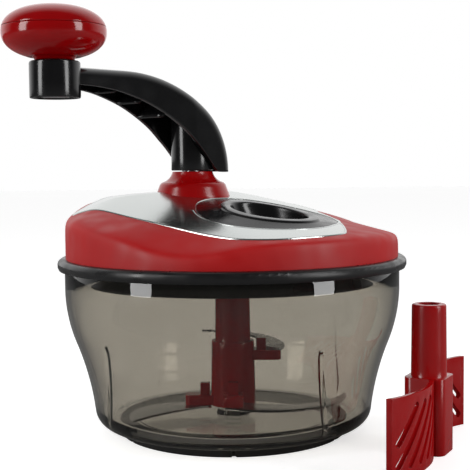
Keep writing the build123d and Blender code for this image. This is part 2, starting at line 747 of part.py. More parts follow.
# ---------------------------------------------------------------------------
# Collar and bushes
# ---------------------------------------------------------------------------
with BuildPart() as crank_collar:
    with BuildSketch(Plane(origin=(*HUB, 0), x_dir=(1, 0, 0), z_dir=(0, -1, 0))):
        with BuildLine():
            Polyline(
                (COLLAR_SHOULDER_R, COLLAR_SHOULDER_Z),
                (COLLAR_R, COLLAR_FLARE_Z),
                (COLLAR_R + COLLAR_FLARE, COLLAR_FLARE_Z - 1.5),
                (COLLAR_R + COLLAR_FLARE, COLLAR_FOOT),
                (bush_r + SEAT, COLLAR_FOOT),
                (bush_r + SEAT, COLLAR_TOP),
                (COLLAR_TOP_R, COLLAR_TOP),
            )
            ThreePointArc(
                (COLLAR_TOP_R, COLLAR_TOP),
                (COLLAR_TOP_R + 2.4, COLLAR_TOP - 4.2),
                (COLLAR_SHOULDER_R - 1.2, COLLAR_SHOULDER_Z + 1.2),
            )
            Line((COLLAR_SHOULDER_R - 1.2, COLLAR_SHOULDER_Z + 1.2), (COLLAR_SHOULDER_R, COLLAR_SHOULDER_Z))
        make_face()
    revolve(axis=Axis((*HUB, 0), (0, 0, 1)))
    add(trim_top, mode=Mode.SUBTRACT)
save(crank_collar.part, "crank_collar")

with BuildPart() as crank_bush:
    with BuildSketch(Plane.XY.offset(CRANK_BUSH_Z)):
        with Locations(HUB):
            Circle(bush_r)
            Circle(CRANK_R + RUN, mode=Mode.SUBTRACT)
    extrude(amount=COLLAR_TOP - CRANK_BUSH_Z)
save(crank_bush.part, "crank_bush")

with BuildPart() as pinion_bush:
    with BuildSketch(Plane.XY.offset(PINION_BUSH_Z)):
        Circle(PINION_SHAFT_R + RUN + BUSH_WALL)
        Circle(PINION_SHAFT_R + RUN, mode=Mode.SUBTRACT)
    extrude(amount=PINION_BUSH_TOP - PINION_BUSH_Z)
save(pinion_bush.part, "pinion_bush")


# ---------------------------------------------------------------------------
# Gears: involute teeth, each flank an arc through three points of the true curve
# ---------------------------------------------------------------------------
def involute(base_r, radius):
    """How far round an involute has turned when it reaches the given radius, in degrees."""
    roll = math.acos(base_r / radius)
    return math.degrees(math.tan(roll) - roll)


def gear_face(teeth, turn):
    """The outline of a spur gear whose first tooth points in the direction turn."""
    pitch_r = MODULE * teeth / 2
    base_r = pitch_r * math.cos(math.radians(PRESSURE_ANGLE))
    tip_r = pitch_r + MODULE
    root_r = pitch_r - 1.25 * MODULE
    half_tooth = 90 / teeth - math.degrees(BACKLASH / 2 / pitch_r)
    at_pitch = involute(base_r, pitch_r)
    low_r = max(base_r, root_r)

    def flank(radius, side):
        return polar(radius, side * (half_tooth + at_pitch - involute(base_r, radius)))

    with BuildSketch() as tooth:
        with BuildLine():
            ThreePointArc(flank(low_r, -1), flank(pitch_r, -1), flank(tip_r, -1))
            ThreePointArc(flank(tip_r, -1), (tip_r, 0), flank(tip_r, 1))
            ThreePointArc(flank(tip_r, 1), flank(pitch_r, 1), flank(low_r, 1))
            foot = polar(root_r - 0.3, half_tooth + at_pitch)
            Polyline(flank(low_r, 1), foot, (foot[0], -foot[1]), flank(low_r, -1))
        make_face()
    with BuildSketch() as gear:
        Circle(root_r)
        with PolarLocations(0, teeth, start_angle=turn):
            add(tooth.sketch)
    return gear.sketch


# a tooth of the drive gear points at the pinion, which has a gap there
drive_face = gear_face(DRIVE_TEETH, POUR_ANGLE)
pinion_face = gear_face(PINION_TEETH, HUB_ANGLE + 180 / PINION_TEETH)

with BuildPart() as drive_gear:
    with BuildSketch(Plane.XY.offset(GEAR_Z)):
        with Locations(HUB):
            add(drive_face)
    extrude(amount=GEAR_WIDTH)
    # the web is thinner than the rim, and has round holes
    web_r = MODULE * DRIVE_TEETH / 2 - 1.25 * MODULE - GEAR_RIM
    with BuildSketch(Plane.XY.offset(GEAR_Z + GEAR_WEB)):
        with Locations(HUB):
            Circle(web_r)
            Circle(GEAR_HUB_R, mode=Mode.SUBTRACT)
    extrude(amount=GEAR_WIDTH, mode=Mode.SUBTRACT)
    with BuildSketch(Plane.XY.offset(GEAR_Z)):
        with Locations(HUB):
            with PolarLocations((web_r + GEAR_HUB_R) / 2, GEAR_HOLES):
                Circle(GEAR_HOLE_R)
    extrude(amount=GEAR_WEB, mode=Mode.SUBTRACT)
    with BuildSketch(Plane.XY.offset(GEAR_Z + GEAR_WIDTH)):
        with Locations(HUB):
            Circle(GEAR_HUB_R)
    extrude(amount=GEAR_HUB_TOP - GEAR_Z - GEAR_WIDTH)
    with BuildSketch(Plane.XY.offset(GEAR_Z)):
        with Locations(HUB):
            Rectangle(SQUARE + 2 * SEAT, SQUARE + 2 * SEAT, rotation=CRANK_ANGLE)
    extrude(amount=GEAR_HUB_TOP - GEAR_Z, mode=Mode.SUBTRACT)
save(drive_gear.part, "drive_gear")

clip_z = PIVOT_CUP + (GEAR_Z - PIVOT_CUP - CLIP_THICK) / 2 + 0.2

with BuildPart() as crank_shaft:
    with BuildSketch(Plane.XY.offset(PIVOT_BOTTOM)):
        with Locations(HUB):
            Circle(PIVOT_R)
    extrude(amount=GEAR_Z - PIVOT_BOTTOM)
    with BuildSketch(Plane.XY.offset(GEAR_Z)):
        with Locations(HUB):
            Rectangle(SQUARE, SQUARE, rotation=CRANK_ANGLE)
    extrude(amount=SQUARE_TOP - GEAR_Z)
    with BuildSketch(Plane.XY.offset(GEAR_HUB_TOP)):
        with Locations(HUB):
            Circle(CRANK_R)
    extrude(amount=HUB_BOTTOM - GEAR_HUB_TOP)
    with BuildSketch(Plane.XY.offset(clip_z)):
        with Locations(HUB):
            Circle(PIVOT_R + 1)
            Circle(PIVOT_R - CLIP_GROOVE, mode=Mode.SUBTRACT)
    extrude(amount=CLIP_THICK, mode=Mode.SUBTRACT)
save(crank_shaft.part, "crank_shaft")

with BuildPart() as retaining_ring:
    with BuildSketch(Plane.XY.offset(clip_z)):
        with Locations(HUB):
            Circle(CLIP_R)
            Circle(PIVOT_R - CLIP_GROOVE, mode=Mode.SUBTRACT)
            # open at one side, so that it can be pushed into its groove
            Rectangle(2 * CLIP_R, PIVOT_R, align=(Align.MIN, Align.CENTER), mode=Mode.SUBTRACT)
    extrude(amount=CLIP_THICK)
save(retaining_ring.part, "retaining_ring")

with BuildPart() as pinion:
    with BuildSketch(Plane.XY.offset(GEAR_Z)):
        add(pinion_face)
    extrude(amount=GEAR_WIDTH)
    with BuildSketch(Plane.XY.offset(PINION_BUSH_TOP + LOOSE)):
        Circle(PINION_SHAFT_R + 1.0)
    extrude(amount=GEAR_Z - PINION_BUSH_TOP - LOOSE)
    with BuildSketch(Plane.XY.offset(SHAFT_TOP + LOOSE)):
        Circle(PINION_SHAFT_R)
    extrude(amount=GEAR_Z - SHAFT_TOP - LOOSE)
    with BuildSketch(Plane.XY.offset(GEAR_Z + GEAR_WIDTH)):
        Circle(PINION_PIN_R)
    extrude(amount=PINION_PIN_TOP - GEAR_Z - GEAR_WIDTH)
    # hexagonal spigot that turns the blade shaft
    with BuildSketch(Plane.XY.offset(SHAFT_TOP - SPIGOT_LENGTH + LOOSE)):
        RegularPolygon(SPIGOT_FLATS / 2, 6, major_radius=False)
    extrude(amount=SPIGOT_LENGTH)
save(pinion.part, "pinion")

# ---------------------------------------------------------------------------
# Crank arm: a curved channel, open below, with its hub tube and knob socket
# ---------------------------------------------------------------------------
arm_side = Plane(
    origin=(*HUB, 0),
    x_dir=(*polar(1, CRANK_ANGLE), 0),
    z_dir=(*polar(1, CRANK_ANGLE - 90), 0),
)
arm_plan = Plane(origin=(*HUB, ARM_BOTTOM), x_dir=(*polar(1, CRANK_ANGLE), 0), z_dir=(0, 0, 1))


def arm_line(inset, reach):
    """The arm's back and top as seen from the side, moved inwards by inset: a tight arc up
    from the bottom, then a wide one that ends level."""
    turn = math.radians(ARM_BACK_TURN)
    centre_s = ARM_BACK_R - ARM_BACK
    back_r = ARM_BACK_R - inset
    knee = (centre_s - back_r * math.cos(turn), ARM_BOTTOM + back_r * math.sin(turn))
    rise = ARM_TOP - ARM_BOTTOM - ARM_BACK_R * math.sin(turn)
    top_r = rise / (1 - math.sin(turn)) - inset
    top_s = knee[0] + top_r * math.cos(turn)
    top_z = ARM_TOP - inset - top_r

    def back(angle):
        return (centre_s - back_r * math.cos(angle), ARM_BOTTOM + back_r * math.sin(angle))

    def top(angle):
        return (top_s - top_r * math.cos(angle), top_z + top_r * math.sin(angle))

    ThreePointArc(back(0), back(turn / 2), knee)
    ThreePointArc(knee, top((turn + math.pi / 2) / 2), top(math.pi / 2))
    Line(top(math.pi / 2), (reach, ARM_TOP - inset))


def arm_outline(inset):
    """The arm's width seen from above, tapering towards the knob, moved inwards by inset."""
    wide = ARM_WIDTH / 2 - inset
    narrow = ARM_NOSE_WIDTH / 2 - inset
    with BuildPart() as prism:
        with BuildSketch(arm_plan):
            Polygon(
                (-ARM_BACK - 5, -wide),
                (ARM_PARALLEL, -wide),
                (CRANK_LENGTH, -narrow),
                (CRANK_LENGTH, narrow),
                (ARM_PARALLEL, wide),
                (-ARM_BACK - 5, wide),
                align=None,
            )
        extrude(amount=SOCKET_TOP - ARM_BOTTOM)
    return prism.part


def on_arm_top(edge):
    """Whether an edge of the arm is one of the two long ones along its back and top."""
    middle = arm_side.to_local_coords(edge @ 0.5)
    on_side = abs(middle.Z) > ARM_NOSE_WIDTH / 2 - 1
    arc_or_line = arm_side.to_local_coords(edge @ 0.0) - arm_side.to_local_coords(edge @ 1.0)
    upper = middle.Y > ARM_UNDER + 1 or middle.X < ARM_TOE_S - 1
    return on_side and upper and arc_or_line.length > 10


under_z = ARM_UNDER - ARM_UNDER_R
heel_drop = math.sqrt(ARM_UNDER_R**2 - (ARM_UNDER_S - ARM_HEEL_S) ** 2)
heel = (ARM_HEEL_S, under_z + heel_drop)
under_mid_s = (ARM_UNDER_S + ARM_HEEL_S) / 2
under_mid = (under_mid_s, under_z + math.sqrt(ARM_UNDER_R**2 - (ARM_UNDER_S - under_mid_s) ** 2))

def arm_solid(inset, bottom):
    """The space under the arm's back and top, moved inwards by inset, down to bottom."""
    with BuildPart() as form:
        with BuildSketch(arm_side):
            with BuildLine():
                arm_line(inset, CRANK_LENGTH)
                Polyline(
                    (CRANK_LENGTH, ARM_TOP - inset),
                    (CRANK_LENGTH, bottom),
                    (inset - ARM_BACK, bottom),
                    (inset - ARM_BACK, ARM_BOTTOM),
                )
            make_face()
        extrude(amount=ARM_WIDTH, both=True)
    return form.part


with BuildPart() as arm_form:
    with BuildSketch(arm_side):
        with BuildLine():
            arm_line(0.0, CRANK_LENGTH)
            Polyline((CRANK_LENGTH, ARM_TOP), (CRANK_LENGTH, ARM_UNDER), (ARM_UNDER_S, ARM_UNDER))
            ThreePointArc((ARM_UNDER_S, ARM_UNDER), under_mid, heel)
            Polyline(heel, (ARM_TOE_S, ARM_BOTTOM), (-ARM_BACK, ARM_BOTTOM))
        make_face()
    extrude(amount=ARM_WIDTH, both=True)
    add(arm_outline(0.0), mode=Mode.INTERSECT)

with BuildPart() as arm_channel:
    add(arm_solid(ARM_WALL, ARM_BOTTOM - 5))
    add(arm_outline(ARM_WALL), mode=Mode.INTERSECT)

# the front wall is cut off below a narrow strip
with BuildPart() as arm_front_cut:
    add(arm_solid(ARM_STRIP, ARM_BOTTOM - 5))
    add(arm_outline(ARM_WALL - 0.01), mode=Mode.SUBTRACT)
    split(bisect_by=Plane(origin=(*HUB, 0), z_dir=arm_side.z_dir), keep=Keep.BOTTOM)

# leaning cross ribs in the channel
with BuildPart() as arm_ribs:
    for distance in ARM_RIBS:
        with BuildSketch(arm_side):
            with Locations((distance, ARM_TOP)):
                Rectangle(ARM_RIB, ARM_TOP - ARM_BOTTOM, rotation=ARM_RIB_LEAN)
        extrude(amount=ARM_WIDTH, both=True)
    add(arm_form.part, mode=Mode.INTERSECT)

# hub tube that grips the crank shaft
with BuildPart() as arm_hub:
    with BuildSketch(Plane.XY.offset(HUB_BOTTOM)):
        with Locations(HUB):
            Circle(HUB_R)
    extrude(amount=ARM_TOP - HUB_BOTTOM)
    add(arm_solid(ARM_WALL / 2, ARM_BOTTOM - 5), mode=Mode.INTERSECT)

# round socket under the knob
with BuildPart() as arm_socket:
    with BuildSketch(Plane.XY.offset(SOCKET_BOTTOM)):
        with Locations(KNOB):
            Circle(SOCKET_R)
    extrude(amount=SOCKET_TOP - SOCKET_BOTTOM)
    fillet(arm_socket.edges().filter_by(GeomType.CIRCLE), 1.2)

with BuildPart() as crank_arm:
    add(arm_form.part)
    fillet(crank_arm.edges().filter_by(on_arm_top), ARM_EDGE)
    add(arm_channel.part, mode=Mode.SUBTRACT)
    add(arm_front_cut.part, mode=Mode.SUBTRACT)
    add(arm_ribs.part)
    add(arm_hub.part)
    add(arm_socket.part)
    with BuildSketch(Plane.XY.offset(HUB_BOTTOM)):
        with Locations(HUB):
            Rectangle(SQUARE + 2 * SEAT, SQUARE + 2 * SEAT, rotation=CRANK_ANGLE)
    extrude(amount=SQUARE_TOP + SEAT - HUB_BOTTOM, mode=Mode.SUBTRACT)
    # recess for the head of the knob's axle, and the axle's hole
    with BuildSketch(Plane.XY.offset(SOCKET_BOTTOM)):
        with Locations(KNOB):
            Circle(AXLE_HEAD_R + SEAT)
    extrude(amount=AXLE_INSET + AXLE_HEAD, mode=Mode.SUBTRACT)
    with BuildSketch(Plane.XY.offset(SOCKET_BOTTOM)):
        with Locations(KNOB):
            Circle(AXLE_R)
    extrude(amount=SOCKET_TOP - SOCKET_BOTTOM, mode=Mode.SUBTRACT)
save(crank_arm.part, "crank_arm")

washer_z = KNOB_HUB_TOP + LOOSE

with BuildPart() as knob_axle:
    with BuildSketch(Plane.XY.offset(SOCKET_BOTTOM + AXLE_INSET)):
        with Locations(KNOB):
            Circle(AXLE_HEAD_R)
    extrude(amount=AXLE_HEAD)
    with BuildSketch(Plane.XY.offset(SOCKET_BOTTOM + AXLE_INSET + AXLE_HEAD)):
        with Locations(KNOB):
            Circle(AXLE_R)
    extrude(amount=washer_z + 2 * WASHER_THICK - SOCKET_BOTTOM - AXLE_INSET - AXLE_HEAD)
save(knob_axle.part, "knob_axle")

with BuildPart() as knob_washer:
    with BuildSketch(Plane.XY.offset(washer_z)):
        with Locations(KNOB):
            Circle(WASHER_R)
            Circle(AXLE_R, mode=Mode.SUBTRACT)
    extrude(amount=WASHER_THICK)
save(knob_washer.part, "knob_washer")

# ---------------------------------------------------------------------------
# Knob: two half ellipses in side view, split at the seam into body and cap
# ---------------------------------------------------------------------------
knob_side = Plane(origin=(*KNOB, 0), x_dir=(1, 0, 0), z_dir=(0, -1, 0))
knob_axis = Axis((*KNOB, 0), (0, 0, 1))


def knob_half(inset):
    """Half the knob's side view, moved inwards by inset. Above and below its widest line, a
    small edge arc runs into a wide one whose centre is on the axis."""
    wide = KNOB_R - inset
    with BuildSketch() as half:
        with BuildLine():
            for side, height, edge in (
                (1, KNOB_TOP - KNOB_WIDEST, KNOB_TOP_EDGE),
                (-1, KNOB_BELLY, KNOB_LOW_EDGE),
            ):
                high = height - inset
                edge_r = edge - inset
                reach = wide - edge_r
                broad_r = (reach**2 + high**2 - edge_r**2) / (2 * (high - edge_r))
                turn = math.atan2(broad_r - high, reach)

                def on_edge(angle):
                    rise = edge_r * math.sin(angle)
                    return (reach + edge_r * math.cos(angle), KNOB_WIDEST + side * rise)

                def on_broad(angle):
                    rise = high - broad_r + broad_r * math.sin(angle)
                    return (broad_r * math.cos(angle), KNOB_WIDEST + side * rise)

                ThreePointArc(on_edge(0), on_edge(turn / 2), on_edge(turn))
                top = math.pi / 2
                ThreePointArc(on_edge(turn), on_broad((turn + top) / 2), on_broad(top))
            Line((0, KNOB_TOP - inset), (0, KNOB_WIDEST - KNOB_BELLY + inset))
        make_face()
    return half.sketch


knob_skin = knob_half(0.0) - knob_half(KNOB_WALL)
knob_bottom = SOCKET_TOP + LOOSE
# how far out the inside of the wall is at the seam
seam_edge = KNOB_TOP_EDGE - KNOB_WALL
seam_r = KNOB_R - KNOB_TOP_EDGE + math.sqrt(seam_edge**2 - (KNOB_SEAM - KNOB_WIDEST) ** 2)

with BuildPart() as knob_body:
    with BuildSketch(knob_side):
        add(knob_skin)
        with Locations((AXLE_R + RUN, knob_bottom)):
            Rectangle(KNOB_R, KNOB_SEAM - knob_bottom, align=Align.MIN, mode=Mode.INTERSECT)
        Polygon(
            (AXLE_R + RUN, knob_bottom),
            (KNOB_NECK_R, knob_bottom),
            (KNOB_WAIST_R, KNOB_WAIST_Z),
            (KNOB_WAIST_R, KNOB_WAIST_Z + KNOB_WALL),
            (KNOB_HUB_R, KNOB_WAIST_Z + KNOB_WALL),
            (KNOB_HUB_R, KNOB_HUB_TOP),
            (AXLE_R + RUN, KNOB_HUB_TOP),
            align=None,
        )
    revolve(axis=knob_axis)
save(knob_body.part, "knob_body")

with BuildPart() as knob_cap:
    with BuildSketch(knob_side):
        add(knob_skin)
        with Locations((0, KNOB_SEAM)):
            Rectangle(KNOB_R, KNOB_R, align=Align.MIN, mode=Mode.INTERSECT)
        # rib that centres the cap in the body
        with Locations((seam_r - SEAT, KNOB_SEAM - 2)):
            Rectangle(1.6, 3.5, align=(Align.MAX, Align.MIN))
    revolve(axis=knob_axis)
save(knob_cap.part, "knob_cap")

# ---------------------------------------------------------------------------
# Mixing paddle: stands by itself on the table, beside the bowl
# ---------------------------------------------------------------------------
paddle_place = Location((PADDLE_X, PADDLE_Y, 0), (0, 0, PADDLE_ANGLE))
half_span = PADDLE_SPAN / 2
bend_y = math.sqrt(PADDLE_BEND_R**2 - (half_span / 2) ** 2)

# two plates, each a part of a thin round wall that bends the opposite way to the other
with BuildPart() as paddle_plates:
    for side in (1, -1):
        with BuildSketch():
            with Locations((side * half_span / 2, -side * bend_y)):
                Circle(PADDLE_BEND_R + PADDLE_THICK / 2)
                Circle(PADDLE_BEND_R - PADDLE_THICK / 2, mode=Mode.SUBTRACT)
            with Locations((side * half_span / 2, side * half_span / 2)):
                Rectangle(half_span, 1.4 * half_span, mode=Mode.INTERSECT)
        extrude(amount=PADDLE_HEIGHT)

# slanting slots with round ends through the plates, mirrored on the two sides; each is as
# long as fits between the plate's margins
window_start = PADDLE_HUB / 2 + SLOT_MARGIN
window_end = half_span - SLOT_MARGIN
slope = math.tan(math.radians(SLOT_LEAN))
slot_low = SLOT_MARGIN + SLOT_WIDTH / 2
slot_high = PADDLE_HEIGHT - slot_low
slot_run = (slot_high - slot_low) * slope
with BuildPart() as paddle_slots:
    for side in (1, -1):
        with BuildSketch(Plane.XZ):
            for count in range(SLOT_COUNT):
                # each slot leans outwards as it goes down
                top_x = window_start + SLOT_WIDTH / 2 + (count - 2) * SLOT_PITCH
                start_x = max(top_x, window_start)
                end_x = min(top_x + slot_run, window_end)
                start = (side * start_x, slot_high - (start_x - top_x) / slope)
                end = (side * end_x, slot_high - (end_x - top_x) / slope)
                length = math.dist(start, end)
                lean = math.degrees(math.atan2(end[1] - start[1], end[0] - start[0]))
                if length > SLOT_WIDTH:
                    with Locations(((start[0] + end[0]) / 2, (start[1] + end[1]) / 2)):
                        SlotCenterToCenter(length, SLOT_WIDTH, rotation=lean)
        extrude(amount=half_span / 2, both=True)

with BuildPart() as mixing_paddle:
    add(paddle_plates.part)
    add(paddle_slots.part, mode=Mode.SUBTRACT)
    with BuildSketch():
        RectangleRounded(PADDLE_HUB, PADDLE_HUB, 4.5)
    extrude(amount=PADDLE_HEIGHT)
    with BuildSketch():
        Circle(PADDLE_TUBE_R)
    extrude(amount=PADDLE_TOP, taper=0.6)
    fillet(mixing_paddle.edges().group_by(Axis.Z)[-1], 1.0)
    # recess for the bowl's boss, bore for the spindle, hexagonal mouth for the lid's spigot
    with BuildSketch():
        Circle(BOSS_R + LOOSE)
    extrude(amount=BOSS_TOP - FLOOR_TOP, mode=Mode.SUBTRACT)
    with BuildSketch():
        Circle(SPINDLE_R + RUN)
    extrude(amount=PADDLE_TOP - SHAFT_TOP + SPINDLE_TOP + LOOSE, mode=Mode.SUBTRACT)
    with BuildSketch(Plane.XY.offset(PADDLE_TOP - SPIGOT_LENGTH)):
        RegularPolygon(SPIGOT_FLATS / 2 + SPIGOT_PLAY, 6, major_radius=False)
    extrude(amount=SPIGOT_LENGTH, mode=Mode.SUBTRACT)
save(paddle_place * mixing_paddle.part, "mixing_paddle")
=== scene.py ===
import bpy
import json
import math
import numpy as np
from mathutils import Matrix


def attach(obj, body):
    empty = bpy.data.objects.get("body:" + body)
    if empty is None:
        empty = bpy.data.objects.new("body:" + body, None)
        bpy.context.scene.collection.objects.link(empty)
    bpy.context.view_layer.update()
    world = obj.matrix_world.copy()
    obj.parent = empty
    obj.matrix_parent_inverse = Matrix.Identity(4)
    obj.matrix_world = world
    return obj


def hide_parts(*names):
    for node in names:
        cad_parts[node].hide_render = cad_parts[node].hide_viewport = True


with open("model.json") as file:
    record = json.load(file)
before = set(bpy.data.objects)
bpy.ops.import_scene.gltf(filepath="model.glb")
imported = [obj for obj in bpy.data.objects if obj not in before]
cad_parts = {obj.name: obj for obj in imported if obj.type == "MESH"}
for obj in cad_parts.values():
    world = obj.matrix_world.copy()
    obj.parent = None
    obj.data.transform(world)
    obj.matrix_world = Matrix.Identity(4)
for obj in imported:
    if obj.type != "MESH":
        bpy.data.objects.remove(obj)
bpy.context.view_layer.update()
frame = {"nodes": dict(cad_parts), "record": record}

# ---------------------------------------------------------------------------
# Bowl: one injection-moulded cup of smoke-tinted clear SAN, with four baffle ribs inside
# and a low boss on its floor. Its wall is thin and polished, so that the blades show through.
# ---------------------------------------------------------------------------
MM = 0.001


def linear(code):
    """A colour written as sRGB hex, as linear red, green, blue and full alpha."""
    parts = [int(code[i:i + 2], 16) / 255 for i in (1, 3, 5)]
    return (*[c / 12.92 if c < 0.04045 else ((c + 0.055) / 1.055) ** 2.4 for c in parts], 1.0)


def put(tree, kind, sockets=(), **settings):
    """Adds a node, gives it its settings, and sets or links each socket that is named."""
    made = tree.nodes.new(kind)
    for name, value in settings.items():
        setattr(made, name, value)
    for name, value in dict(sockets).items():
        if isinstance(value, bpy.types.NodeSocket):
            tree.links.new(value, made.inputs[name])
        else:
            made.inputs[name].default_value = value
    return made


def blank(name):
    """A new material's node tree, cleared but for its output."""
    material = bpy.data.materials.new(name)
    material.use_nodes = True
    material.node_tree.nodes.clear()
    end = put(material.node_tree, "ShaderNodeOutputMaterial")
    return material, material.node_tree, end


def soften(piece, width, bevel_angle=40, split_angle=35):
    """Rounds a piece's sharp edges by width (mm), as the mould does, and keeps the shading of
    faces that still meet at a sharp angle apart. The angles are in degrees."""
    if width:
        edge = piece.modifiers.new("edge", "BEVEL")
        edge.width = width * MM
        edge.segments = 2
        edge.limit_method = "ANGLE"
        edge.angle_limit = math.radians(bevel_angle)
    split = piece.modifiers.new("split", "EDGE_SPLIT")
    split.split_angle = math.radians(split_angle)
    split.use_edge_sharp = False


def dress(name, material, bevel=0.0):
    """Gives a CAD node its finish: its loose triangles are welded and smoothed, and its sharp
    edges are rounded by bevel (mm)."""
    piece = frame["nodes"][name]
    piece.data.materials.clear()
    piece.data.materials.append(material)
    piece.data.polygons.foreach_set("use_smooth", [True] * len(piece.data.polygons))
    weld = piece.modifiers.new("weld", "WELD")
    weld.merge_threshold = 0.002 * MM
    soften(piece, bevel, 35, 32)


# clear SAN with a warm smoke tint, polished like glass: what is behind shows through it sharp,
# and shadow rays pass as through a tinted pane
smoke, tree, end = blank("smoke_tinted_SAN_polished")
where = put(tree, "ShaderNodeTexCoord").outputs["Object"]
# slow unevenness of a moulded wall, about 12 mm across
ripple = put(tree, "ShaderNodeTexNoise", {"Vector": where, "Scale": 1 / (12 * MM), "Detail": 1.0})
bend = put(tree, "ShaderNodeBump", {
    "Height": ripple.outputs["Fac"], "Strength": 0.15, "Distance": 0.05 * MM})
tint = put(tree, "ShaderNodeMix", {
    0: ripple.outputs["Fac"], 6: linear("#BFBBB3"), 7: linear("#BAB6AD")}, data_type="RGBA")
clear = put(tree, "ShaderNodeBsdfPrincipled", {
    "Base Color": tint.outputs[2], "Transmission Weight": 1.0, "IOR": 1.52,
    "Roughness": 0.0, "Normal": bend.outputs["Normal"]})
shade = put(tree, "ShaderNodeBsdfTransparent", {"Color": linear("#E3E1DB")})
ray = put(tree, "ShaderNodeLightPath")
mix = put(tree, "ShaderNodeMixShader", {
    0: ray.outputs["Is Shadow Ray"], 1: clear.outputs["BSDF"], 2: shade.outputs["BSDF"]})
tree.links.new(mix.outputs["Shader"], end.inputs["Surface"])

# sizes in mm: radius and height of the rim, and heights where the wall's curve changes
RIM_R, RIM_Z, WAIST_Z, SHOULDER_Z, FOOT_Z = 91.2, 92.0, 51.0, 80.0, 13.0
WAIST_LEAN, FOOT_LEAN = math.radians(21.8), math.radians(6.8)
FLOOR_UNDER, FLOOR_TOP, BOWL_WALL = 5.0, 9.0, 2.6
BORE_R, BOSS_TOP, BORE_FLOOR = 4.04, 11.5, 6.5
# direction of each rib at the floor and at its top: they stand two by two, half a turn apart
RIB_FEET, RIB_HEADS = np.array([-51.0, 29.5, 129.0, 209.5]), np.array([-60.0, 42.5, 120.0, 222.5])
RIB_TOP, RIB_DEPTH, RIB_HALF = 55.0, 1.1, 1.35


def bowl_wall(inset, floor, corner, steps):
    """Half the bowl's side view from its floor to the rim, moved inwards by inset: an arc that
    leans further out up to the waist, one that turns back upright at the shoulder, and a
    quarter-round of the corner's radius where the wall meets the floor."""
    upper_r = (SHOULDER_Z - WAIST_Z) / math.sin(WAIST_LEAN)
    lower_r = (WAIST_Z - FOOT_Z) / (math.sin(WAIST_LEAN) - math.sin(FOOT_LEAN))
    upper_x = RIM_R - upper_r
    lower_x = upper_x + (upper_r + lower_r) * math.cos(WAIST_LEAN)
    lower_z = WAIST_Z - lower_r * math.sin(WAIST_LEAN)
    upper_r, lower_r = upper_r - inset, lower_r + inset
    # centre of the corner's round: inside the wall's arc and above the floor by its radius
    centre_z = floor + corner
    centre_x = lower_x - math.sqrt((lower_r + corner) ** 2 - (centre_z - lower_z) ** 2)
    lift = math.asin((centre_z - lower_z) / (lower_r + corner))
    turn = np.linspace(-math.pi / 2, -lift, steps)
    low = np.linspace(lift, WAIST_LEAN, steps)
    high = np.linspace(WAIST_LEAN, 0.0, steps)
    parts = [
        (centre_x + corner * np.cos(turn), centre_z + corner * np.sin(turn)),
        (lower_x - lower_r * np.cos(low[1:]), lower_z + lower_r * np.sin(low[1:])),
        (upper_x + upper_r * np.cos(high[1:]), SHOULDER_Z - upper_r * np.sin(high[1:])),
        (np.array([upper_x + upper_r]), np.array([RIM_Z - 0.6])),
    ]
    x = np.concatenate([p[0] for p in parts])
    z = np.concatenate([p[1] for p in parts])
    return np.stack([x, z], axis=-1)


def grid_mesh(name, grid, material, keep=None):
    """Makes an object of a grid of points (rows, columns, xyz in mm) whose last column joins its
    first. Four neighbours make a face; an end row that is all one point is a pole, where the
    faces are triangles. keep chooses the faces that stay."""
    rows, columns = grid.shape[:2]
    index = np.arange(rows * columns).reshape(rows, columns)
    for row in (0, rows - 1):
        if np.ptp(grid[row], axis=0).max() < 1e-6:
            index[row] = index[row, 0]
    index = np.hstack([index, index[:, :1]])
    squares = np.stack([index[:-1, :-1], index[:-1, 1:], index[1:, 1:], index[1:, :-1]], axis=-1)
    squares = squares.reshape(-1, 4) if keep is None else squares[keep]
    used, squares = np.unique(squares, return_inverse=True)
    squares = squares.reshape(-1, 4)
    low = squares[:, 0] == squares[:, 1]
    high = squares[:, 2] == squares[:, 3]
    faces = squares[~low & ~high].tolist() + squares[low][:, [0, 2, 3]].tolist()
    faces += squares[high][:, [0, 1, 2]].tolist()
    mesh = bpy.data.meshes.new(name)
    mesh.from_pydata((grid.reshape(-1, 3)[used] * MM).tolist(), [], faces)
    mesh.polygons.foreach_set("use_smooth", [True] * len(faces))
    mesh.materials.append(material)
    made = bpy.data.objects.new(name, mesh)
    bpy.context.scene.collection.objects.link(made)
    return made


def stand_in(piece, node):
    """The piece rides where a CAD node rides and stands for it, and the node is hidden."""
    body = [b for b, held in frame["record"]["behaviour"]["bodies"].items() if node in held][0]
    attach(piece, body)
    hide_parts(node)


def turned(profile, azimuth, centre=(0.0, 0.0)):
    """A profile of (radius, height) carried round an upright axis, one column for each azimuth."""
    radius, height = profile[:, :1], profile[:, 1:]
    return np.stack([
        centre[0] + radius * np.cos(azimuth), centre[1] + radius * np.sin(azimuth),
        height + 0 * azimuth], axis=-1)


def crisp(profile, gap=0.12):
    """The same profile with a point added just before and just after each sharp corner, so that
    smooth shading stays within the corner's small radius."""
    before, after = profile[1:-1] - profile[:-2], profile[2:] - profile[1:-1]
    long_before, long_after = np.hypot(*before.T), np.hypot(*after.T)
    bend = np.abs(before[:, 0] * after[:, 1] - before[:, 1] * after[:, 0])
    bend = bend / (long_before * long_after)
    sharp = np.where((bend > 0.35) & (long_before > 3 * gap) & (long_after > 3 * gap))[0]
    ahead = profile[sharp + 1] + after[sharp] / long_after[sharp, None] * gap
    behind = profile[sharp + 1] - before[sharp] / long_before[sharp, None] * gap
    spots = np.repeat(sharp + 1, 2) + np.tile([0, 1], len(sharp))
    return np.insert(profile, spots, np.stack([behind, ahead], axis=1).reshape(-1, 2), axis=0)


# columns stand close together where the ribs are
middles, reach = (RIB_FEET + RIB_HEADS) / 2, np.abs(RIB_HEADS - RIB_FEET) / 2 + 2.2
near_ribs = (middles[:, None] + reach[:, None] * np.linspace(-1, 1, 110)).ravel() % 360
azimuth = np.radians(np.unique(np.round(np.concatenate([near_ribs, np.arange(0, 360, 3.0)]), 3)))
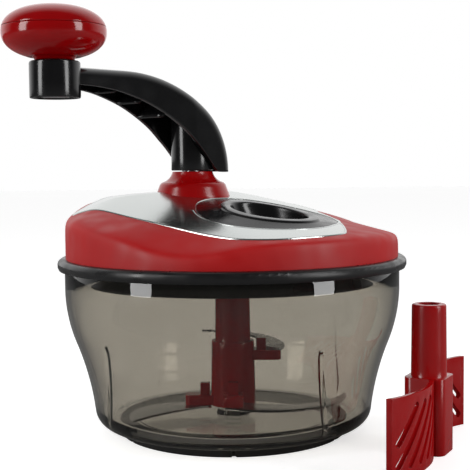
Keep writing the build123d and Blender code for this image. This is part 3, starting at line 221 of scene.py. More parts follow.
# under the floor a low skirt stands between two radii, which the ring is pressed over
underside = crisp(np.array([
    (0, FLOOR_UNDER), (52.5, FLOOR_UNDER), (52.5, 1.6), (54.9, 1.6), (54.9, FLOOR_UNDER),
    (57.0, FLOOR_UNDER)]))
outer = bowl_wall(0.0, FLOOR_UNDER, 9.0, 20)
inner = bowl_wall(BOWL_WALL, FLOOR_TOP, 8.0, 20)
rim = np.array([
    (RIM_R - 0.15, RIM_Z - 0.2), (RIM_R - 0.6, RIM_Z), (RIM_R - BOWL_WALL + 0.6, RIM_Z)])
boss = crisp(np.array([
    (30, FLOOR_TOP), (9.4, FLOOR_TOP), (8.5, BOSS_TOP), (BORE_R, BOSS_TOP), (BORE_R, BORE_FLOOR),
    (0, BORE_FLOOR)]))
bowl_side = np.concatenate([underside, outer, rim, inner[::-1], boss])
bowl_grid = turned(bowl_side, azimuth)
# a rib is a low flat-topped ridge on the inner wall, 2.7 mm wide, with steep sides
first = len(underside) + len(outer) + len(rim)
wall = bowl_grid[first:first + len(inner)]
radius, height = np.hypot(wall[..., 0], wall[..., 1]), wall[..., 2]
share = np.clip((height - FLOOR_TOP) / (RIB_TOP - FLOOR_TOP), 0, 1)
line = RIB_FEET[:, None, None] + (RIB_HEADS - RIB_FEET)[:, None, None] * share
apart = np.abs((np.degrees(azimuth) - line + 180) % 360 - 180).min(axis=0)
ridge = np.exp(-(np.radians(apart) * radius / RIB_HALF) ** 8)
ridge *= np.clip((RIB_TOP - height) / 1.5, 0, 1) ** 0.5 * np.clip((height - FLOOR_TOP) / 5, 0, 1)
wall[..., 0] -= RIB_DEPTH * ridge * np.cos(azimuth)
wall[..., 1] -= RIB_DEPTH * ridge * np.sin(azimuth)
bowl = grid_mesh("bowl_wall", bowl_grid, smoke)
stand_in(bowl, "bowl")

# six lugs under the floor, each with a rounded end, that the ring is hooked on
LUG_R, LUG_LONG, LUG_WIDE = 61.75, 1.7, 0.9
round_lug = np.linspace(0, 2 * math.pi, 24, endpoint=False)
lug_rows = np.array([(0.0, 1.2), (0.75, 1.2), (0.94, 1.35), (1.0, 1.7), (1.0, 4.9), (0.0, 4.9)])
corner = (np.abs(np.cos(round_lug)) ** 6 + np.abs(np.sin(round_lug)) ** 6) ** (-1 / 6)
lug = np.stack([
    LUG_R + LUG_LONG * lug_rows[:, :1] * corner * np.cos(round_lug),
    LUG_WIDE * lug_rows[:, :1] * corner * np.sin(round_lug),
    lug_rows[:, 1:] + 0 * round_lug], axis=-1)
for number, turn in enumerate(np.radians(np.arange(30, 390, 60))):
    swing = np.array([
        [math.cos(turn), math.sin(turn), 0], [-math.sin(turn), math.cos(turn), 0], [0, 0, 1]])
    hook = grid_mesh("bowl_lug_%d" % number, lug @ swing, smoke)
    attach(hook, "base")


# ---------------------------------------------------------------------------
# Non-slip ring: black thermoplastic rubber, pressed over the wall under the bowl and
# held by six small lugs of the bowl. It is matt from its spark-eroded mould.
# ---------------------------------------------------------------------------
def moulded(name, colour, rough, grain=0.8, depth=0.003, cloud=9.0, change=0.10):
    """An opaque moulded plastic. Grain (mm) is the mould's texture and depth its height;
    cloud (mm) is the slow change of gloss and tone by the share in change."""
    material, tree, end = blank(name)
    where = put(tree, "ShaderNodeTexCoord").outputs["Object"]
    fine = put(tree, "ShaderNodeTexNoise", {
        "Vector": where, "Scale": 1 / (grain * MM), "Detail": 2.0})
    bump = put(tree, "ShaderNodeBump", {
        "Height": fine.outputs["Fac"], "Strength": 0.5, "Distance": depth * MM})
    slow = put(tree, "ShaderNodeTexNoise", {
        "Vector": where, "Scale": 1 / (cloud * MM), "Detail": 0.0})
    gloss = put(tree, "ShaderNodeMapRange", {
        "Value": slow.outputs["Fac"], "From Min": 0.3, "From Max": 0.7,
        "To Min": rough * (1 - change), "To Max": rough * (1 + 2 * change)})
    tone = put(tree, "ShaderNodeMapRange", {
        "Value": slow.outputs["Fac"], "From Min": 0.3, "From Max": 0.7,
        "To Min": 1 - change / 2, "To Max": 1.0})
    tint = put(tree, "ShaderNodeVectorMath", {
        0: linear(colour)[:3], "Scale": tone.outputs["Result"]}, operation="SCALE")
    skin = put(tree, "ShaderNodeBsdfPrincipled", {
        "Base Color": tint.outputs["Vector"], "Roughness": gloss.outputs["Result"], "IOR": 1.5,
        "Normal": bump.outputs["Normal"]})
    tree.links.new(skin.outputs["BSDF"], end.inputs["Surface"])
    return material


# thermoplastic rubber from a spark-eroded mould: a fine grain that scatters all highlights
rubber = moulded("black_TPR_matt", "#1A1A1A", 0.6, grain=0.6, depth=0.03)
dress("base_ring", rubber, 0.3)

# ---------------------------------------------------------------------------
# Spindle, crank shaft, knob axle and washers: turned stainless steel, whose fine tool
# marks run round the axis.
# ---------------------------------------------------------------------------
def steel(name, colour, rough, line=0.4, stretch=(1, 1, 14), depth=0.006):
    """A worked steel: noise drawn out along one axis gives the marks of the tool or belt. Its
    cells are ten times line (mm) long and narrower by stretch, which is coarser than the real
    marks, so that they show."""
    material, tree, end = blank(name)
    where = put(tree, "ShaderNodeTexCoord").outputs["Object"]
    along = put(tree, "ShaderNodeMapping", {"Vector": where, "Scale": stretch})
    marks = put(tree, "ShaderNodeTexNoise", {
        "Vector": along.outputs["Vector"], "Scale": 1 / (line * 10 * MM), "Detail": 3.0})
    bump = put(tree, "ShaderNodeBump", {
        "Height": marks.outputs["Fac"], "Strength": 0.5, "Distance": depth * MM})
    gloss = put(tree, "ShaderNodeMapRange", {
        "Value": marks.outputs["Fac"], "To Min": rough * 0.7, "To Max": rough * 1.4})
    skin = put(tree, "ShaderNodeBsdfPrincipled", {
        "Base Color": linear(colour), "Metallic": 1.0, "Roughness": gloss.outputs["Result"],
        "Normal": bump.outputs["Normal"]})
    tree.links.new(skin.outputs["BSDF"], end.inputs["Surface"])
    return material


turned_steel = steel("stainless_steel_turned", "#B4B4B6", 0.3)
for name in ("spindle", "crank_shaft", "knob_axle", "knob_washer", "retaining_ring", "lid_screws"):
    dress(name, turned_steel)

# ---------------------------------------------------------------------------
# Blade shaft and blades: a dark red moulded ABS column with three ledges, and three
# sickles of ground stainless sheet pushed over its square posts.
# ---------------------------------------------------------------------------
# ABS as it leaves a polished mould, in a darker red than the lid's
shaft_red = moulded("dark_red_ABS_moulded", "#8C0A10", 0.2)
# stainless sheet ground along its length, so that highlights are drawn out into streaks
blade_steel = steel("stainless_blade_ground", "#B8B9BA", 0.22, line=0.3, stretch=(3, 1, 1))
dress("blade_shaft", shaft_red, 0.3)
for name in ("blade_middle", "blade_lower"):
    dress(name, blade_steel, 0.1)


def arc_through(start, middle, stop, steps=60):
    """Points of the arc from start to stop through middle: its centre is where the two
    perpendicular bisectors meet."""
    a, b = 2 * (middle - start), 2 * (stop - start)
    centre = np.linalg.solve([a, b], [middle @ middle - start @ start, stop @ stop - start @ start])
    turns = np.unwrap([math.atan2(*(p - centre)[::-1]) for p in (start, middle, stop)])
    turn = np.linspace(turns[0], turns[2], steps, endpoint=False)
    return centre + np.linalg.norm(start - centre) * np.stack([np.cos(turn), np.sin(turn)], axis=-1)


# the upper blade bows out less than its solid. Sizes in mm and degrees: the root's two corners on
# the ledge, then radius and direction of the middle of each edge and of the tip
# the upper blade is the same steel as the other two, but painted darker: painted shade on the upper
# blade
shaded_blade_steel = steel(
    "stainless_blade_painted_shade", "#8E8F90", 0.26, line=0.6, stretch=(3, 1, 1), depth=0.002)
UPPER_BLADE_Z, BLADE_THICK, GROUND = 43.6, 1.2, 0.16
ROOT_OUTSIDE, ROOT_INSIDE = np.array((26.5, -4.5)), np.array((13.4, 5.5))
spots = np.array([(40.0, 50.0), (28.5, 56.0), (65.0, 107.0)])
way = np.radians(spots[:, 1])
bow_out, bow_in, tip = spots[:, :1] * np.stack([np.cos(way), np.sin(way)], axis=-1)
sharp = np.vstack([arc_through(ROOT_OUTSIDE, bow_out, tip), tip])
blunt = np.vstack([arc_through(ROOT_INSIDE, bow_in, tip), tip])
# round the section: share of the way from the sharp edge to the blunt one, and height. The
# sharp edge is ground down over the first sixth of the width
across, height = np.array([
    (0, 0), (0, 0.35), (GROUND, BLADE_THICK), (0.6, BLADE_THICK), (1, BLADE_THICK), (1, 0),
    (0.5, 0)]).T[:, None, :, None]
plan = sharp[:, None] + across * (blunt - sharp)[:, None]
section = np.concatenate([plan, UPPER_BLADE_Z + height + 0 * plan[..., :1]], axis=-1)
root_end, tip_end = [
    np.repeat(section[row:row + 1].mean(axis=1, keepdims=True), section.shape[1], axis=1)
    for row in (0, len(section) - 1)]
sickle = grid_mesh(
    "blade_upper_sickle", np.concatenate([root_end, section, tip_end])[::-1], shaded_blade_steel)
soften(sickle, 0.0)
stand_in(sickle, "blade_upper")

# ---------------------------------------------------------------------------
# Lid base: a black ABS plate with a rolled rim and a skirt that goes into the bowl. The grey
# silicone seal is stretched into a groove of the skirt.
# ---------------------------------------------------------------------------
# ABS from a mould that is polished less than the insert's, so that lamps blur on the rim
rim_black = moulded("black_ABS_lid_base", "#0F0F10", 0.32, depth=0.004, change=0.2)
silicone = moulded("grey_silicone", "#A9A9A6", 0.5)
dress("lid_base", rim_black, 0.3)
dress("lid_seal", silicone)

# ---------------------------------------------------------------------------
# Gear train: the crank's large gear, the pinion over the blade shaft and their bushes, all
# moulded of uncoloured nylon. The lid hides them.
# ---------------------------------------------------------------------------
nylon = moulded("natural_nylon", "#E6E4DA", 0.42)
for name in ("crank_bush", "pinion_bush", "drive_gear", "pinion"):
    dress(name, nylon)

# ---------------------------------------------------------------------------
# Lid cover: a red ABS shell. Its crown falls from the crank towards the pour hole, and three
# hollow flanks cut it to a rounded triangle, all blended into each other as the mould's core is.
# ---------------------------------------------------------------------------
# red ABS from a textured mould, so that the lamps are only a soft sheen on it
red_satin = moulded("red_ABS_satin", "#BE0508", 0.5)
# sizes in mm and directions in degrees: the crank's hub and the pour hole lie opposite
COVER_R, LID_SEAM, COVER_WALL, BLEND = 90.6, 96.1, 2.5, 1.6
HUB_TURN, HUB_OUT, HUB_HOLE_R = 133.5, 32.0, 9.5
POUR_TURN, POUR_OUT = -46.5, 29.0
HOLE_LONG, HOLE_SHORT, HOLE_PLAY = 26.5, 20.5, 3.5
# radius of each round face of the crown, its height over the hub, and its slope
ROOF_R, ROOF_TOP, ROOF_FALL = 357.0, 130.5, 0.17
DOME_R, DOME_TOP = 555.0, 130.8
SHOULDER_OUT, SHOULDER_TOP, SHOULDER_FALL, SHOULDER_APART = 66.0, 128.3, 0.46, 120
SCOOP_R, SCOOP_FALL = 150.0, 0.57
# direction of each scoop and the height at which it meets the round wall
SCOOPS = ((POUR_TURN - 57, 102.7), (POUR_TURN + 57, 102.7), (HUB_TURN, 112.0))


def heading(degrees, outward, upward):
    """A vector that points in a direction of the plan, with a given reach outward and upward."""
    turn = math.radians(degrees)
    return np.array([outward * math.cos(turn), outward * math.sin(turn), upward])


HUB = heading(HUB_TURN, HUB_OUT, 0.0)[:2]
POUR = heading(POUR_TURN, POUR_OUT, 0.0)[:2]


def crown_gap(point):
    """How far a point is outside the lid's crown, in mm, and negative inside: the smooth
    greatest of its distances from the round wall, from a long roof that falls to the pour
    hole, from a wide dome round the crank, from two flat shoulders and from three scoops."""
    gaps = [np.hypot(point[..., 0], point[..., 1]) - COVER_R]
    fall = math.atan(ROOF_FALL)
    along = heading(POUR_TURN, math.cos(fall), -math.sin(fall))
    above = heading(POUR_TURN, math.sin(fall), math.cos(fall))
    reach = point - (np.array([*HUB, ROOF_TOP]) - ROOF_R * above)
    reach = reach - (reach @ along)[..., None] * along
    roof = np.linalg.norm(reach, axis=-1) - ROOF_R
    dome = np.linalg.norm(point - np.array([*HUB, DOME_TOP - DOME_R]), axis=-1) - DOME_R
    gaps.append(np.maximum(roof, dome))
    for turn in (POUR_TURN - SHOULDER_APART, POUR_TURN + SHOULDER_APART):
        normal = heading(turn, SHOULDER_FALL, 1.0) / math.hypot(SHOULDER_FALL, 1.0)
        gaps.append((point - heading(turn, SHOULDER_OUT, SHOULDER_TOP)) @ normal)
    lean = math.atan(SCOOP_FALL)
    for turn, level in SCOOPS:
        inwards = heading(turn, -math.cos(lean), math.sin(lean))
        centre = (heading(turn, COVER_R, level)
                  + SCOOP_R * heading(turn, math.sin(lean), math.cos(lean)))
        reach = point - centre
        reach = reach - (reach @ inwards)[..., None] * inwards
        gaps.append(SCOOP_R - np.linalg.norm(reach, axis=-1))
    gaps = np.stack(gaps)
    most = gaps.max(axis=0)
    return most + BLEND * np.log(np.exp((gaps - most) / BLEND).sum(axis=0))


def last_inside(low, high, is_outside):
    """The greatest values between low and high that are still inside, by halving 45 times."""
    for _ in range(45):
        middle = (low + high) / 2
        outside = is_outside(middle)
        low, high = np.where(outside, low, middle), np.where(outside, middle, high)
    return low


def crown_rays(turn, lift):
    """Points of the crown on rays that leave the seam's centre by turn and lift."""
    way = np.stack([
        np.cos(lift) * np.cos(turn), np.cos(lift) * np.sin(turn), np.sin(lift) + 0 * turn], axis=-1)
    start = (0, 0, LID_SEAM)
    reach = last_inside(
        np.zeros(way.shape[:2]), np.full(way.shape[:2], 150.0),
        lambda reach: crown_gap(way * reach[..., None] + start) > 0)
    return way * reach[..., None] + start


def crown_height(x, y, proud):
    """The height over each point of the plan that is proud of the crown, in mm."""
    return last_inside(
        np.full(x.shape, 60.0), np.full(x.shape, 160.0),
        lambda height: crown_gap(np.stack([x, y, height], axis=-1)) > proud)


def pour_radius(angle, half_long, half_short):
    """How far the pour hole's oval is from its own centre in each direction."""
    turn = angle - math.radians(POUR_TURN)
    return half_long * half_short / np.hypot(half_short * np.cos(turn), half_long * np.sin(turn))


def thicken(piece, thickness):
    """Gives a sheet its wall, inwards from the surface that shows."""
    wall = piece.modifiers.new("wall", "SOLIDIFY")
    wall.thickness = thickness * MM
    wall.offset = -1.0
    wall.use_even_offset = False


def plan_distance(points, centre):
    """How far points are from an upright axis."""
    return np.hypot(*np.moveaxis(points[..., :2] - centre, -1, 0))


turn = np.radians(np.arange(0, 360, 1.2))[None, :]
lift = (math.pi / 2) * np.linspace(0, 1, 100)[:, None] ** 1.5
cover_grid = crown_rays(turn, lift)
# the faces over the pour hole and over the crank's hub are left out
middle = (cover_grid[:-1] + cover_grid[1:]) / 2
from_pour = middle[..., :2] - POUR
hole = pour_radius(np.arctan2(from_pour[..., 1], from_pour[..., 0]), HOLE_LONG, HOLE_SHORT)
solid = plan_distance(middle, POUR) > hole + HOLE_PLAY
solid &= plan_distance(middle, HUB) > HUB_HOLE_R
cover = grid_mesh("cover_shell", cover_grid, red_satin, keep=solid)
thicken(cover, COVER_WALL)
stand_in(cover, "lid_cover")

# ---------------------------------------------------------------------------
# Trim plate: ABS plated with chrome, let into the cover, with a rolled edge round its outside
# and round the pour insert. The plating is bright, with faint moulding waves under it.
# ---------------------------------------------------------------------------
chrome, tree, end = blank("chrome_plated_ABS")
where = put(tree, "ShaderNodeTexCoord").outputs["Object"]
wave = put(tree, "ShaderNodeTexNoise", {"Vector": where, "Scale": 1 / (20 * MM), "Detail": 1.0})
bump = put(tree, "ShaderNodeBump", {
    "Height": wave.outputs["Fac"], "Strength": 0.3, "Distance": 0.04 * MM})
fine = put(tree, "ShaderNodeTexNoise", {"Vector": where, "Scale": 1 / (2 * MM), "Detail": 4.0})
gloss = put(tree, "ShaderNodeMapRange", {
    "Value": fine.outputs["Fac"], "To Min": 0.16, "To Max": 0.24})
plating = put(tree, "ShaderNodeBsdfPrincipled", {
    "Base Color": linear("#C9CDCB"), "Metallic": 1.0, "Roughness": gloss.outputs["Result"],
    "Normal": bump.outputs["Normal"]})
tree.links.new(plating.outputs["BSDF"], end.inputs["Surface"])


def outline(corners_and_sides, rounding, angle):
    """How far an outline is from the pour hole's centre in each direction. The outline is arcs
    from corner to corner through the middles of its sides, made even by a running mean over
    the given length, which rounds the corners."""
    points = [heading(a, r, 0.0)[:2] for pair in corners_and_sides for r, a in pair]
    count = len(points)
    line = np.concatenate([
        arc_through(points[i], points[i + 1], points[(i + 2) % count]) for i in range(0, count, 2)])
    step = np.linalg.norm(np.roll(line, -1, axis=0) - line, axis=1)
    length = np.concatenate([[0], np.cumsum(step)])
    samples = 1500
    even = np.linspace(0, length[-1], samples, endpoint=False)
    closed = np.vstack([line, line[:1]])
    line = np.stack([np.interp(even, length, closed[:, i]) for i in (0, 1)], axis=-1)
    width = max(3, int(samples * rounding / length[-1]) | 1)
    window = np.hanning(width + 2)[1:-1]
    window = window / window.sum()
    padded = np.concatenate([line[-width:], line, line[:width]])
    line = np.stack([np.convolve(padded[:, i], window, "same") for i in (0, 1)], axis=-1)
    apart = line[width:-width] - POUR
    way = np.arctan2(apart[:, 1], apart[:, 0])
    order = np.argsort(way)
    far = np.hypot(apart[:, 0], apart[:, 1])
    return np.interp(angle, way[order], far[order], period=2 * math.pi)


# (radius, direction) of each corner and of the middle of the side after it
TRIM = (
    ((88.0, 185.0), (66.0, 233.5)), ((79.0, 270.0), (84.3, 281.0)), ((84.3, 294.0), (84.3, 301.5)),
    ((82.0, 314.0), (60.5, 341.0)), ((52.0, 20.0), (65.0, 45.0)), ((82.0, 70.0), (66.0, 133.5)))
LEAF = (((30.3, 232.5), (65.3, 285.0)), ((64.0, 324.0), (23.5, 48.5)))
angle = np.linspace(-math.pi, math.pi, 480, endpoint=False)
trim_edge = outline(TRIM, 16.0, angle)
leaf_edge = outline(LEAF, 7.0, angle)


def sheet_rows(inside, outside, rows):
    """Rows of points over the crown from one line round the pour hole to another. Each row is
    (share of the way, mm further out, mm proud of the crown)."""
    share, extra, proud = [np.array(c)[:, None] for c in zip(*rows)]
    radius = inside + share * (outside - inside) + extra
    x, y = POUR[0] + radius * np.cos(angle), POUR[1] + radius * np.sin(angle)
    return np.stack([x, y, crown_height(x, y, proud + 0 * radius)], axis=-1)


inner_roll = [
    (0, 0.25, -1.2), (0, 0.25, 0.2), (0, 0.4, 0.48), (0, 0.75, 0.6), (0, 1.2, 0.5), (0, 1.6, 0.4)]
outer_roll = [
    (1, -1.3, 0.4), (1, -0.9, 0.52), (1, -0.5, 0.6), (1, -0.2, 0.48), (1, 0, 0.15), (1, 0, -1.2)]
field = [(share, 0, 0.4) for share in np.linspace(0.04, 0.96, 40)]
trim_grid = sheet_rows(leaf_edge, trim_edge, inner_roll + field + outer_roll)[::-1]
middle = (trim_grid[:-1] + trim_grid[1:]) / 2
trim = grid_mesh(
    "chrome_trim", trim_grid, chrome, keep=plan_distance(middle, HUB) > HUB_HOLE_R)
thicken(trim, 0.8)
stand_in(trim, "trim_plate")

# ---------------------------------------------------------------------------
# Pour insert: polished black ABS. A leaf-shaped flange lies inside the plate, a raised lip
# goes round the oval mouth, and the chute narrows to a throat that ends under the lid.
# ---------------------------------------------------------------------------
# polished like the outside of a kitchen machine, so that the lamps show as sharp patches
black_gloss = moulded("black_ABS_polished", "#111112", 0.2, depth=0.004, change=0.2)
THROAT_OUT, THROAT_Z, LIP_WIDTH = 33.8, 86.8, 6.5
THROAT = heading(POUR_TURN, THROAT_OUT, 0.0)[:2]
mouth = pour_radius(angle, 22.6, 18.2)
throat = pour_radius(angle, 18.4, 16.6)
lip = np.minimum(mouth + LIP_WIDTH, leaf_edge - 0.9)
flange = [(0, 0, 0.35), (1, -0.3, 0.35), (1, 0.0, 0.2), (1, 0.1, -1.2)]
crest = [
    (0, 0, 0.35), (0.03, 0, 0.5), (0.09, 0, 1.15), (0.13, 0, 1.42), (0.2, 0, 1.5), (0.5, 0, 1.5),
    (0.82, 0, 1.5), (0.9, 0, 1.4), (0.96, 0, 1.1), (1.0, 0, 0.4)]
rows_flange = sheet_rows(lip, leaf_edge, flange)[::-1]
rows_lip = sheet_rows(lip, mouth, crest)
# shares of the way from mouth to throat, in the plan and downwards
fall = np.array([0.0, 0.12, 0.3, 0.5, 0.7, 0.85, 0.95, 1.0, 1.0, 1.0])[:, None]
drop = np.array([0.0, 0.08, 0.22, 0.38, 0.54, 0.68, 0.78, 0.85, 0.93, 1.0])[:, None]
start_x, start_y = POUR[0] + mouth * np.cos(angle), POUR[1] + mouth * np.sin(angle)
start_z = crown_height(start_x, start_y, 0.0 * mouth) - 0.5
stop_x, stop_y = THROAT[0] + throat * np.cos(angle), THROAT[1] + throat * np.sin(angle)
rows_chute = np.stack([
    start_x + fall * (stop_x - start_x), start_y + fall * (stop_y - start_y),
    start_z + drop * (THROAT_Z - start_z)], axis=-1)
insert = grid_mesh(
    "pour_funnel", np.concatenate([rows_flange, rows_lip[1:], rows_chute]), black_gloss)
thicken(insert, 1.4)
stand_in(insert, "pour_insert")

# ---------------------------------------------------------------------------
# Crank collar: a red bell-shaped bearing cap, pushed into the cover over the plate.
# ---------------------------------------------------------------------------
red_abs = moulded("red_ABS_moulded", "#A60306", 0.22)
dress("crank_collar", red_abs, 0.4)

# ---------------------------------------------------------------------------
# Crank arm: black ABS, moulded as an arched channel that is open below and stiffened by
# leaning ribs, with the hub tube at its foot and the knob's socket at its end.
# ---------------------------------------------------------------------------
satin = moulded("black_ABS_satin", "#0E0E0F", 0.15)
# sizes in mm: the knob's distance from the crank axis, heights of the arm's foot and top, and
# half its width by the crank and at the knob
ARM_TURN, KNOB_OUT, ARM_FOOT_Z, ARM_TOP_Z = -132.6, 96.8, 141.9, 193.2
WIDE, NARROW, TAPER_FROM = 12.5, 7.5, 12.0
ARM_EDGE, ARM_WALL, ARM_RIB = 4.0, 2.2, 1.2
ALONG = heading(ARM_TURN, 1.0, 0.0)[:2]
ACROSS = np.array([-ALONG[1], ALONG[0]])
KNOB = HUB + KNOB_OUT * ALONG


def through(points, count):
    """A smooth line through points: each span is the cubic whose slope at a point is half the
    step between its neighbours, and the line is then spaced evenly."""
    held = np.vstack([2 * points[0] - points[1], points, 2 * points[-1] - points[-2]])
    share = np.linspace(0, 1, 30, endpoint=False)[:, None]
    a, b, c, d = held[:-3, None], held[1:-2, None], held[2:-1, None], held[3:, None]
    spans = 0.5 * (2 * b + (c - a) * share + (2 * a - 5 * b + 4 * c - d) * share ** 2
                   + (3 * b - a - 3 * c + d) * share ** 3)
    line = np.vstack([spans.reshape(-1, 2), points[-1:]])
    length = np.concatenate([[0], np.cumsum(np.hypot(*np.diff(line, axis=0).T))])
    even = np.linspace(0, length[-1], count)
    return np.stack([np.interp(even, length, line[:, i]) for i in (0, 1)], axis=-1)


def arm_point(outwards, sideways, height):
    """A place in the arm's own frame: distance out from the crank axis, sideways and height."""
    plan = HUB + outwards[..., None] * ALONG + sideways[..., None] * ACROSS
    return np.concatenate([plan, height[..., None]], axis=-1)


def rising_arc(centre, radius, start, stop, count):
    """Points (outwards, height) of an arc that starts upright at 0 degrees and is level at 90."""
    turn = np.linspace(math.radians(start), math.radians(stop), count, endpoint=False)
    return np.stack([
        centre[0] - radius * np.cos(turn), centre[1] + radius * np.sin(turn)], axis=-1)


# the back is an arc of 42 mm that runs into one of 93 mm, and then level to the knob
arcs = np.concatenate([
    rising_arc((26.2, ARM_FOOT_Z), 42, 0, 55, 30), rising_arc((55.7, 99.8), 93.4, 55, 90, 40)])
level_back = [(out, ARM_TOP_Z) for out in (56, 70, 84, KNOB_OUT)]
back = through(np.vstack([arcs[::3], level_back]), 120)
under = through(np.array([
    (-7.7, ARM_FOOT_Z), (-5.2, 143.0), (-1.5, 146.3), (3.0, 151.0), (10.0, 157.8), (22.6, 167.8),
    (41.0, 177.4), (60.0, 183.4), (74.0, 185.7), (84.0, 186.4), (KNOB_OUT, 186.6)]), 120)
slope = np.gradient(back, axis=0)
inwards = np.stack([slope[:, 1], -slope[:, 0]], axis=-1) / np.hypot(*slope.T)[:, None]


def half_width(outwards):
    """Half the arm's width, which tapers evenly from the crank to the knob."""
    taper = np.clip((outwards - TAPER_FROM) / (KNOB_OUT - TAPER_FROM), 0, 1)
    return WIDE - (WIDE - NARROW) * taper


# round the section: up one wall, round the edge, over the slightly raised back, and down again
up = np.linspace(0, 1, 12)[:, None]
bend = np.linspace(0, math.pi / 2, 9)[1:, None]
edge = back + ARM_EDGE * inwards
wall = under[None] + up[..., None] * (edge - under)[None]
wall_side = half_width(wall[..., 0])
turned_edge = back[None] + (ARM_EDGE * (1 - np.sin(bend)))[..., None] * inwards[None]
edge_side = half_width(back[:, 0])[None] - ARM_EDGE * (1 - np.cos(bend))
BACK_RISE = 0.6
flat_side = (edge_side[-1] * np.linspace(1, -1, 14)[1:-1, None])
raised = BACK_RISE * (1 - (flat_side / edge_side[-1]) ** 2)
flat_line = back[None] - raised[..., None] * inwards[None]
line = np.concatenate([wall, turned_edge, flat_line, turned_edge[::-1], wall[::-1]])
side = np.concatenate([wall_side, edge_side, flat_side, -edge_side[::-1], -wall_side[::-1]])
channel = arm_point(line[..., 0], side, line[..., 1])


def open_sheet(name, grid, material):
    """A sheet from a grid of points (rows, columns, xyz in mm) whose sides aren't joined."""
    keep = np.ones((grid.shape[0] - 1, grid.shape[1]), bool)
    keep[:, -1] = False
    return grid_mesh(name, grid, material, keep)


shell = open_sheet("arm_channel", channel, satin)
thicken(shell, ARM_WALL)
soften(shell, 0.45, 50)
stand_in(shell, "crank_arm")

# leaning ribs across the channel: (outwards, height) of each one's foot and head
ARM_RIBS = np.array([
    ((33, 172.5), (22, 184.5)), ((49, 179.5), (39, 189.0)), ((65, 184.5), (57, 191.0))])
for number, (foot, head) in enumerate(ARM_RIBS):
    rise = np.linspace(0, 1, 5)[:, None]
    plate = foot + rise * (head - foot)
    out = plate[:, :1] + 0 * np.linspace(-1, 1, 5)
    reach = (half_width(plate[:, :1]) - ARM_WALL / 2) * np.linspace(-1, 1, 5)
    rib = open_sheet("arm_rib_%d" % number, arm_point(out, reach, plate[:, 1:] + 0 * out), satin)
    thicken(rib, ARM_RIB)
    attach(rib, "crank")

# hub tube: down its bore, round its foot and up the outside to the inside of the back
TUBE_R, TUBE_BORE_R, BORE_TOP, TUBE_FOOT_Z = 12.0, 5.3, 166.0, 142.8
tube_turn = np.radians(np.arange(0, 360, 5.0))
out = TUBE_R * np.cos(tube_turn - math.radians(ARM_TURN))
roof = np.interp(out, back[:, 0], back[:, 1]) - 1.2
radius = np.array([
    TUBE_BORE_R, TUBE_BORE_R, 5.5, 11.6, TUBE_R, TUBE_R, TUBE_R, TUBE_BORE_R])[:, None]
level = np.array([BORE_TOP, 143.0, TUBE_FOOT_Z, TUBE_FOOT_Z, 143.2, 150.0])[:, None]
level = level + 0 * tube_turn
level = np.vstack([level, roof[None], level[:1]])
tube = grid_mesh("arm_hub_tube", np.stack([
    HUB[0] + radius * np.cos(tube_turn), HUB[1] + radius * np.sin(tube_turn),
    level], axis=-1), satin)
soften(tube, 0.1)
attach(tube, "crank")

# knob socket, hollowed below for the axle's head
socket_side = crisp(np.array([
    (3.1, 190), (3.1, 182.5), (10.8, 182.5), (11.1, 180.3), (11.5, 179.8), (12.2, 179.8),
    (12.65, 180.0), (12.8, 180.6), (12.8, 197.0), (12.6, 197.7), (12.1, 198.1), (11.4, 198.2),
    (3.1, 198.2), (3.1, 190)]))
socket = grid_mesh("arm_socket", turned(socket_side, tube_turn, KNOB), satin)
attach(socket, "crank")

# ---------------------------------------------------------------------------
# Knob: two red ABS shells pressed together. The seam, with its small rounded edges, runs
# just above the widest line. The body turns on the axle.
# ---------------------------------------------------------------------------
# ABS polished by its mould and by the hand, so that the two lamps are sharp patches on it
red_gloss = moulded("red_ABS_polished", "#A20206", 0.10, depth=0.001)
# sizes in mm; the seam is a narrow groove between two angles of the side view
KNOB_R, WIDEST_Z, KNOB_RISE, KNOB_WALL, FULLNESS = 26.2, 212.5, 13.6, 1.6, 2.25
SEAM_BELOW, SEAM_ABOVE = 8.0, 9.4


def knob_side(start, stop, steps=50):
    """The knob's side view between two angles, in degrees: a superellipse round the middle of
    its widest line, which with a power above 2 is slightly fuller than an ellipse."""
    angle = np.radians(np.linspace(start, stop, steps))
    rise = np.abs(np.sin(angle)) ** (2 / FULLNESS) * np.sign(np.sin(angle))
    return np.stack([
        KNOB_R * np.cos(angle) ** (2 / FULLNESS), WIDEST_Z + KNOB_RISE * rise], axis=-1)


knob_turn = np.radians(np.arange(0, 360, 3.0))
neck = np.array([
    (3.2, 198.6), (9.6, 198.6), (9.95, 198.8), (10.2, 199.4), (10.7, 200.2), (11.6, 200.8)])
belly, low_rim = knob_side(-62, 0), knob_side(1, SEAM_BELOW, 8)
lower_side = np.concatenate([neck, belly, low_rim, low_rim[-1:] + (-0.2, 0.12)])
body = grid_mesh("knob_lower_shell", turned(lower_side, knob_turn, KNOB), red_gloss)
thicken(body, KNOB_WALL)
stand_in(body, "knob_body")
crown_line = knob_side(SEAM_ABOVE, 90)
crown_line[-1, 0] = 0.0
upper_side = np.concatenate([crown_line[:1] - (0.2, 0.12), crown_line])
cap = grid_mesh("knob_cap_shell", turned(upper_side, knob_turn, KNOB), red_gloss)
thicken(cap, KNOB_WALL)
stand_in(cap, "knob_cap")

# ---------------------------------------------------------------------------
# Mixing paddle: moulded in the same red ABS, a hub and tube with two curved slotted plates.
# ---------------------------------------------------------------------------
dress("mixing_paddle", red_abs, 0.3)

# ---------------------------------------------------------------------------
# Studio: a white table and a white surround, two tall softboxes, and the camera.
# ---------------------------------------------------------------------------
def unbounced(tree):
    """1 for a ray that has met only clear pieces since it left the camera, and else 0."""
    ray = put(tree, "ShaderNodeLightPath")
    bounces = put(tree, "ShaderNodeMath", {
        0: ray.outputs["Diffuse Depth"], 1: ray.outputs["Glossy Depth"]}, operation="ADD")
    fewer = put(tree, "ShaderNodeMath", {
        0: bounces.outputs["Value"], 1: 0.5}, operation="LESS_THAN")
    return fewer.outputs["Value"]


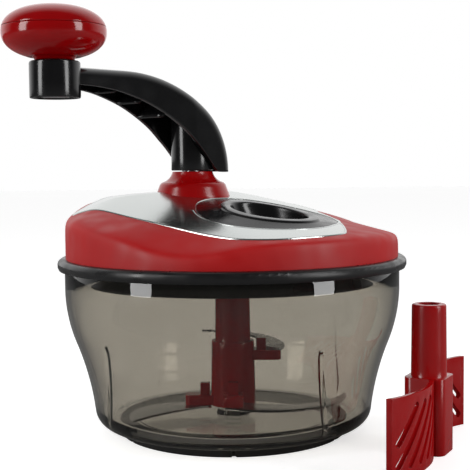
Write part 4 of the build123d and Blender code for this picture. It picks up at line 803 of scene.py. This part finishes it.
scene = bpy.context.scene
world = bpy.data.worlds.new("studio")
world.use_nodes = True
tree = world.node_tree
tree.nodes.clear()
place = put(tree, "ShaderNodeTexCoord").outputs["Generated"]
direction = put(tree, "ShaderNodeSeparateXYZ", {"Vector": place})
# the white backdrop is behind the object, and the rest of the room is dark
side = put(tree, "ShaderNodeMapRange", {
    "Value": direction.outputs["Y"], "From Min": 0.05, "From Max": 0.55,
    "To Min": 0.06, "To Max": 1.0})
level = put(tree, "ShaderNodeMix", {
    0: unbounced(tree), 2: side.outputs["Result"], 3: 1.0}, data_type="FLOAT")
room = put(tree, "ShaderNodeBackground", {"Color": (1, 1, 1, 1), "Strength": level.outputs[0]})
end = put(tree, "ShaderNodeOutputWorld", {"Surface": room.outputs["Background"]})
scene.world = world


def softbox(name, place, width=0.36, height=1.0, watts=8.0):
    """A tall area lamp, in metres, that faces the object's middle."""
    lamp = bpy.data.lights.new(name, "AREA")
    lamp.shape = "RECTANGLE"
    lamp.size = width
    lamp.size_y = height
    lamp.energy = watts
    box = bpy.data.objects.new(name, lamp)
    box.location = place
    towards = np.array((0, 0, 0.09)) - np.array(place)
    flat = math.hypot(towards[0], towards[1])
    box.rotation_euler = (
        math.atan2(flat, -towards[2]), 0, math.atan2(towards[1], towards[0]) - math.pi / 2)
    scene.collection.objects.link(box)


softbox("softbox_left", (-1.04, -0.6, 0.5))
softbox("softbox_right", (1.04, -0.6, 0.5))

# the table is seen nearly white; in reflections it is a mid grey, so that it doesn't veil them
table = bpy.data.meshes.new("table")
FAR = 6.0
corners = [(-FAR, -FAR, 0), (FAR, -FAR, 0), (FAR, FAR, 0), (-FAR, FAR, 0)]
table.from_pydata(corners, [], [(0, 1, 2, 3)])
floor = bpy.data.objects.new("table", table)
scene.collection.objects.link(floor)
white, tree, end = blank("white_table")
seen = unbounced(tree)
pale = put(tree, "ShaderNodeMix", {
    0: seen, 6: linear("#959595"), 7: linear("#EAEAEA")}, data_type="RGBA")
paint = put(tree, "ShaderNodeBsdfDiffuse", {"Color": pale.outputs[2]})
lift = put(tree, "ShaderNodeMath", {0: seen, 1: 0.65}, operation="MULTIPLY")
glow = put(tree, "ShaderNodeEmission", {"Color": (1, 1, 1, 1), "Strength": lift.outputs["Value"]})
both = put(tree, "ShaderNodeAddShader", {0: paint.outputs["BSDF"], 1: glow.outputs["Emission"]})
tree.links.new(both.outputs["Shader"], end.inputs["Surface"])
table.materials.append(white)

# the camera is matched to the photograph: place in metres, then tilt, turn and roll
EYE = (0.0, -0.5771, 0.1454)
DOWN, TURN, ROLL = math.radians(3.79), math.radians(0.177), math.radians(-0.57)
ahead = np.array([
    math.sin(TURN) * math.cos(DOWN), math.cos(TURN) * math.cos(DOWN), -math.sin(DOWN)])
right = np.array([math.cos(TURN), -math.sin(TURN), 0.0])
up = np.cross(right, ahead)
side = right * math.cos(ROLL) + up * math.sin(ROLL)
top = -right * math.sin(ROLL) + up * math.cos(ROLL)
eye = bpy.data.cameras.new("camera")
eye.lens = 80.43
eye.sensor_width = 36.0
eye.clip_start = 0.01
camera = bpy.data.objects.new("camera", eye)
pose = np.eye(4)
pose[:3, 0], pose[:3, 1], pose[:3, 2], pose[:3, 3] = side, top, -ahead, EYE
camera.matrix_world = Matrix(pose.tolist())
scene.collection.objects.link(camera)
scene.camera = camera
scene.view_settings.view_transform = "Standard"
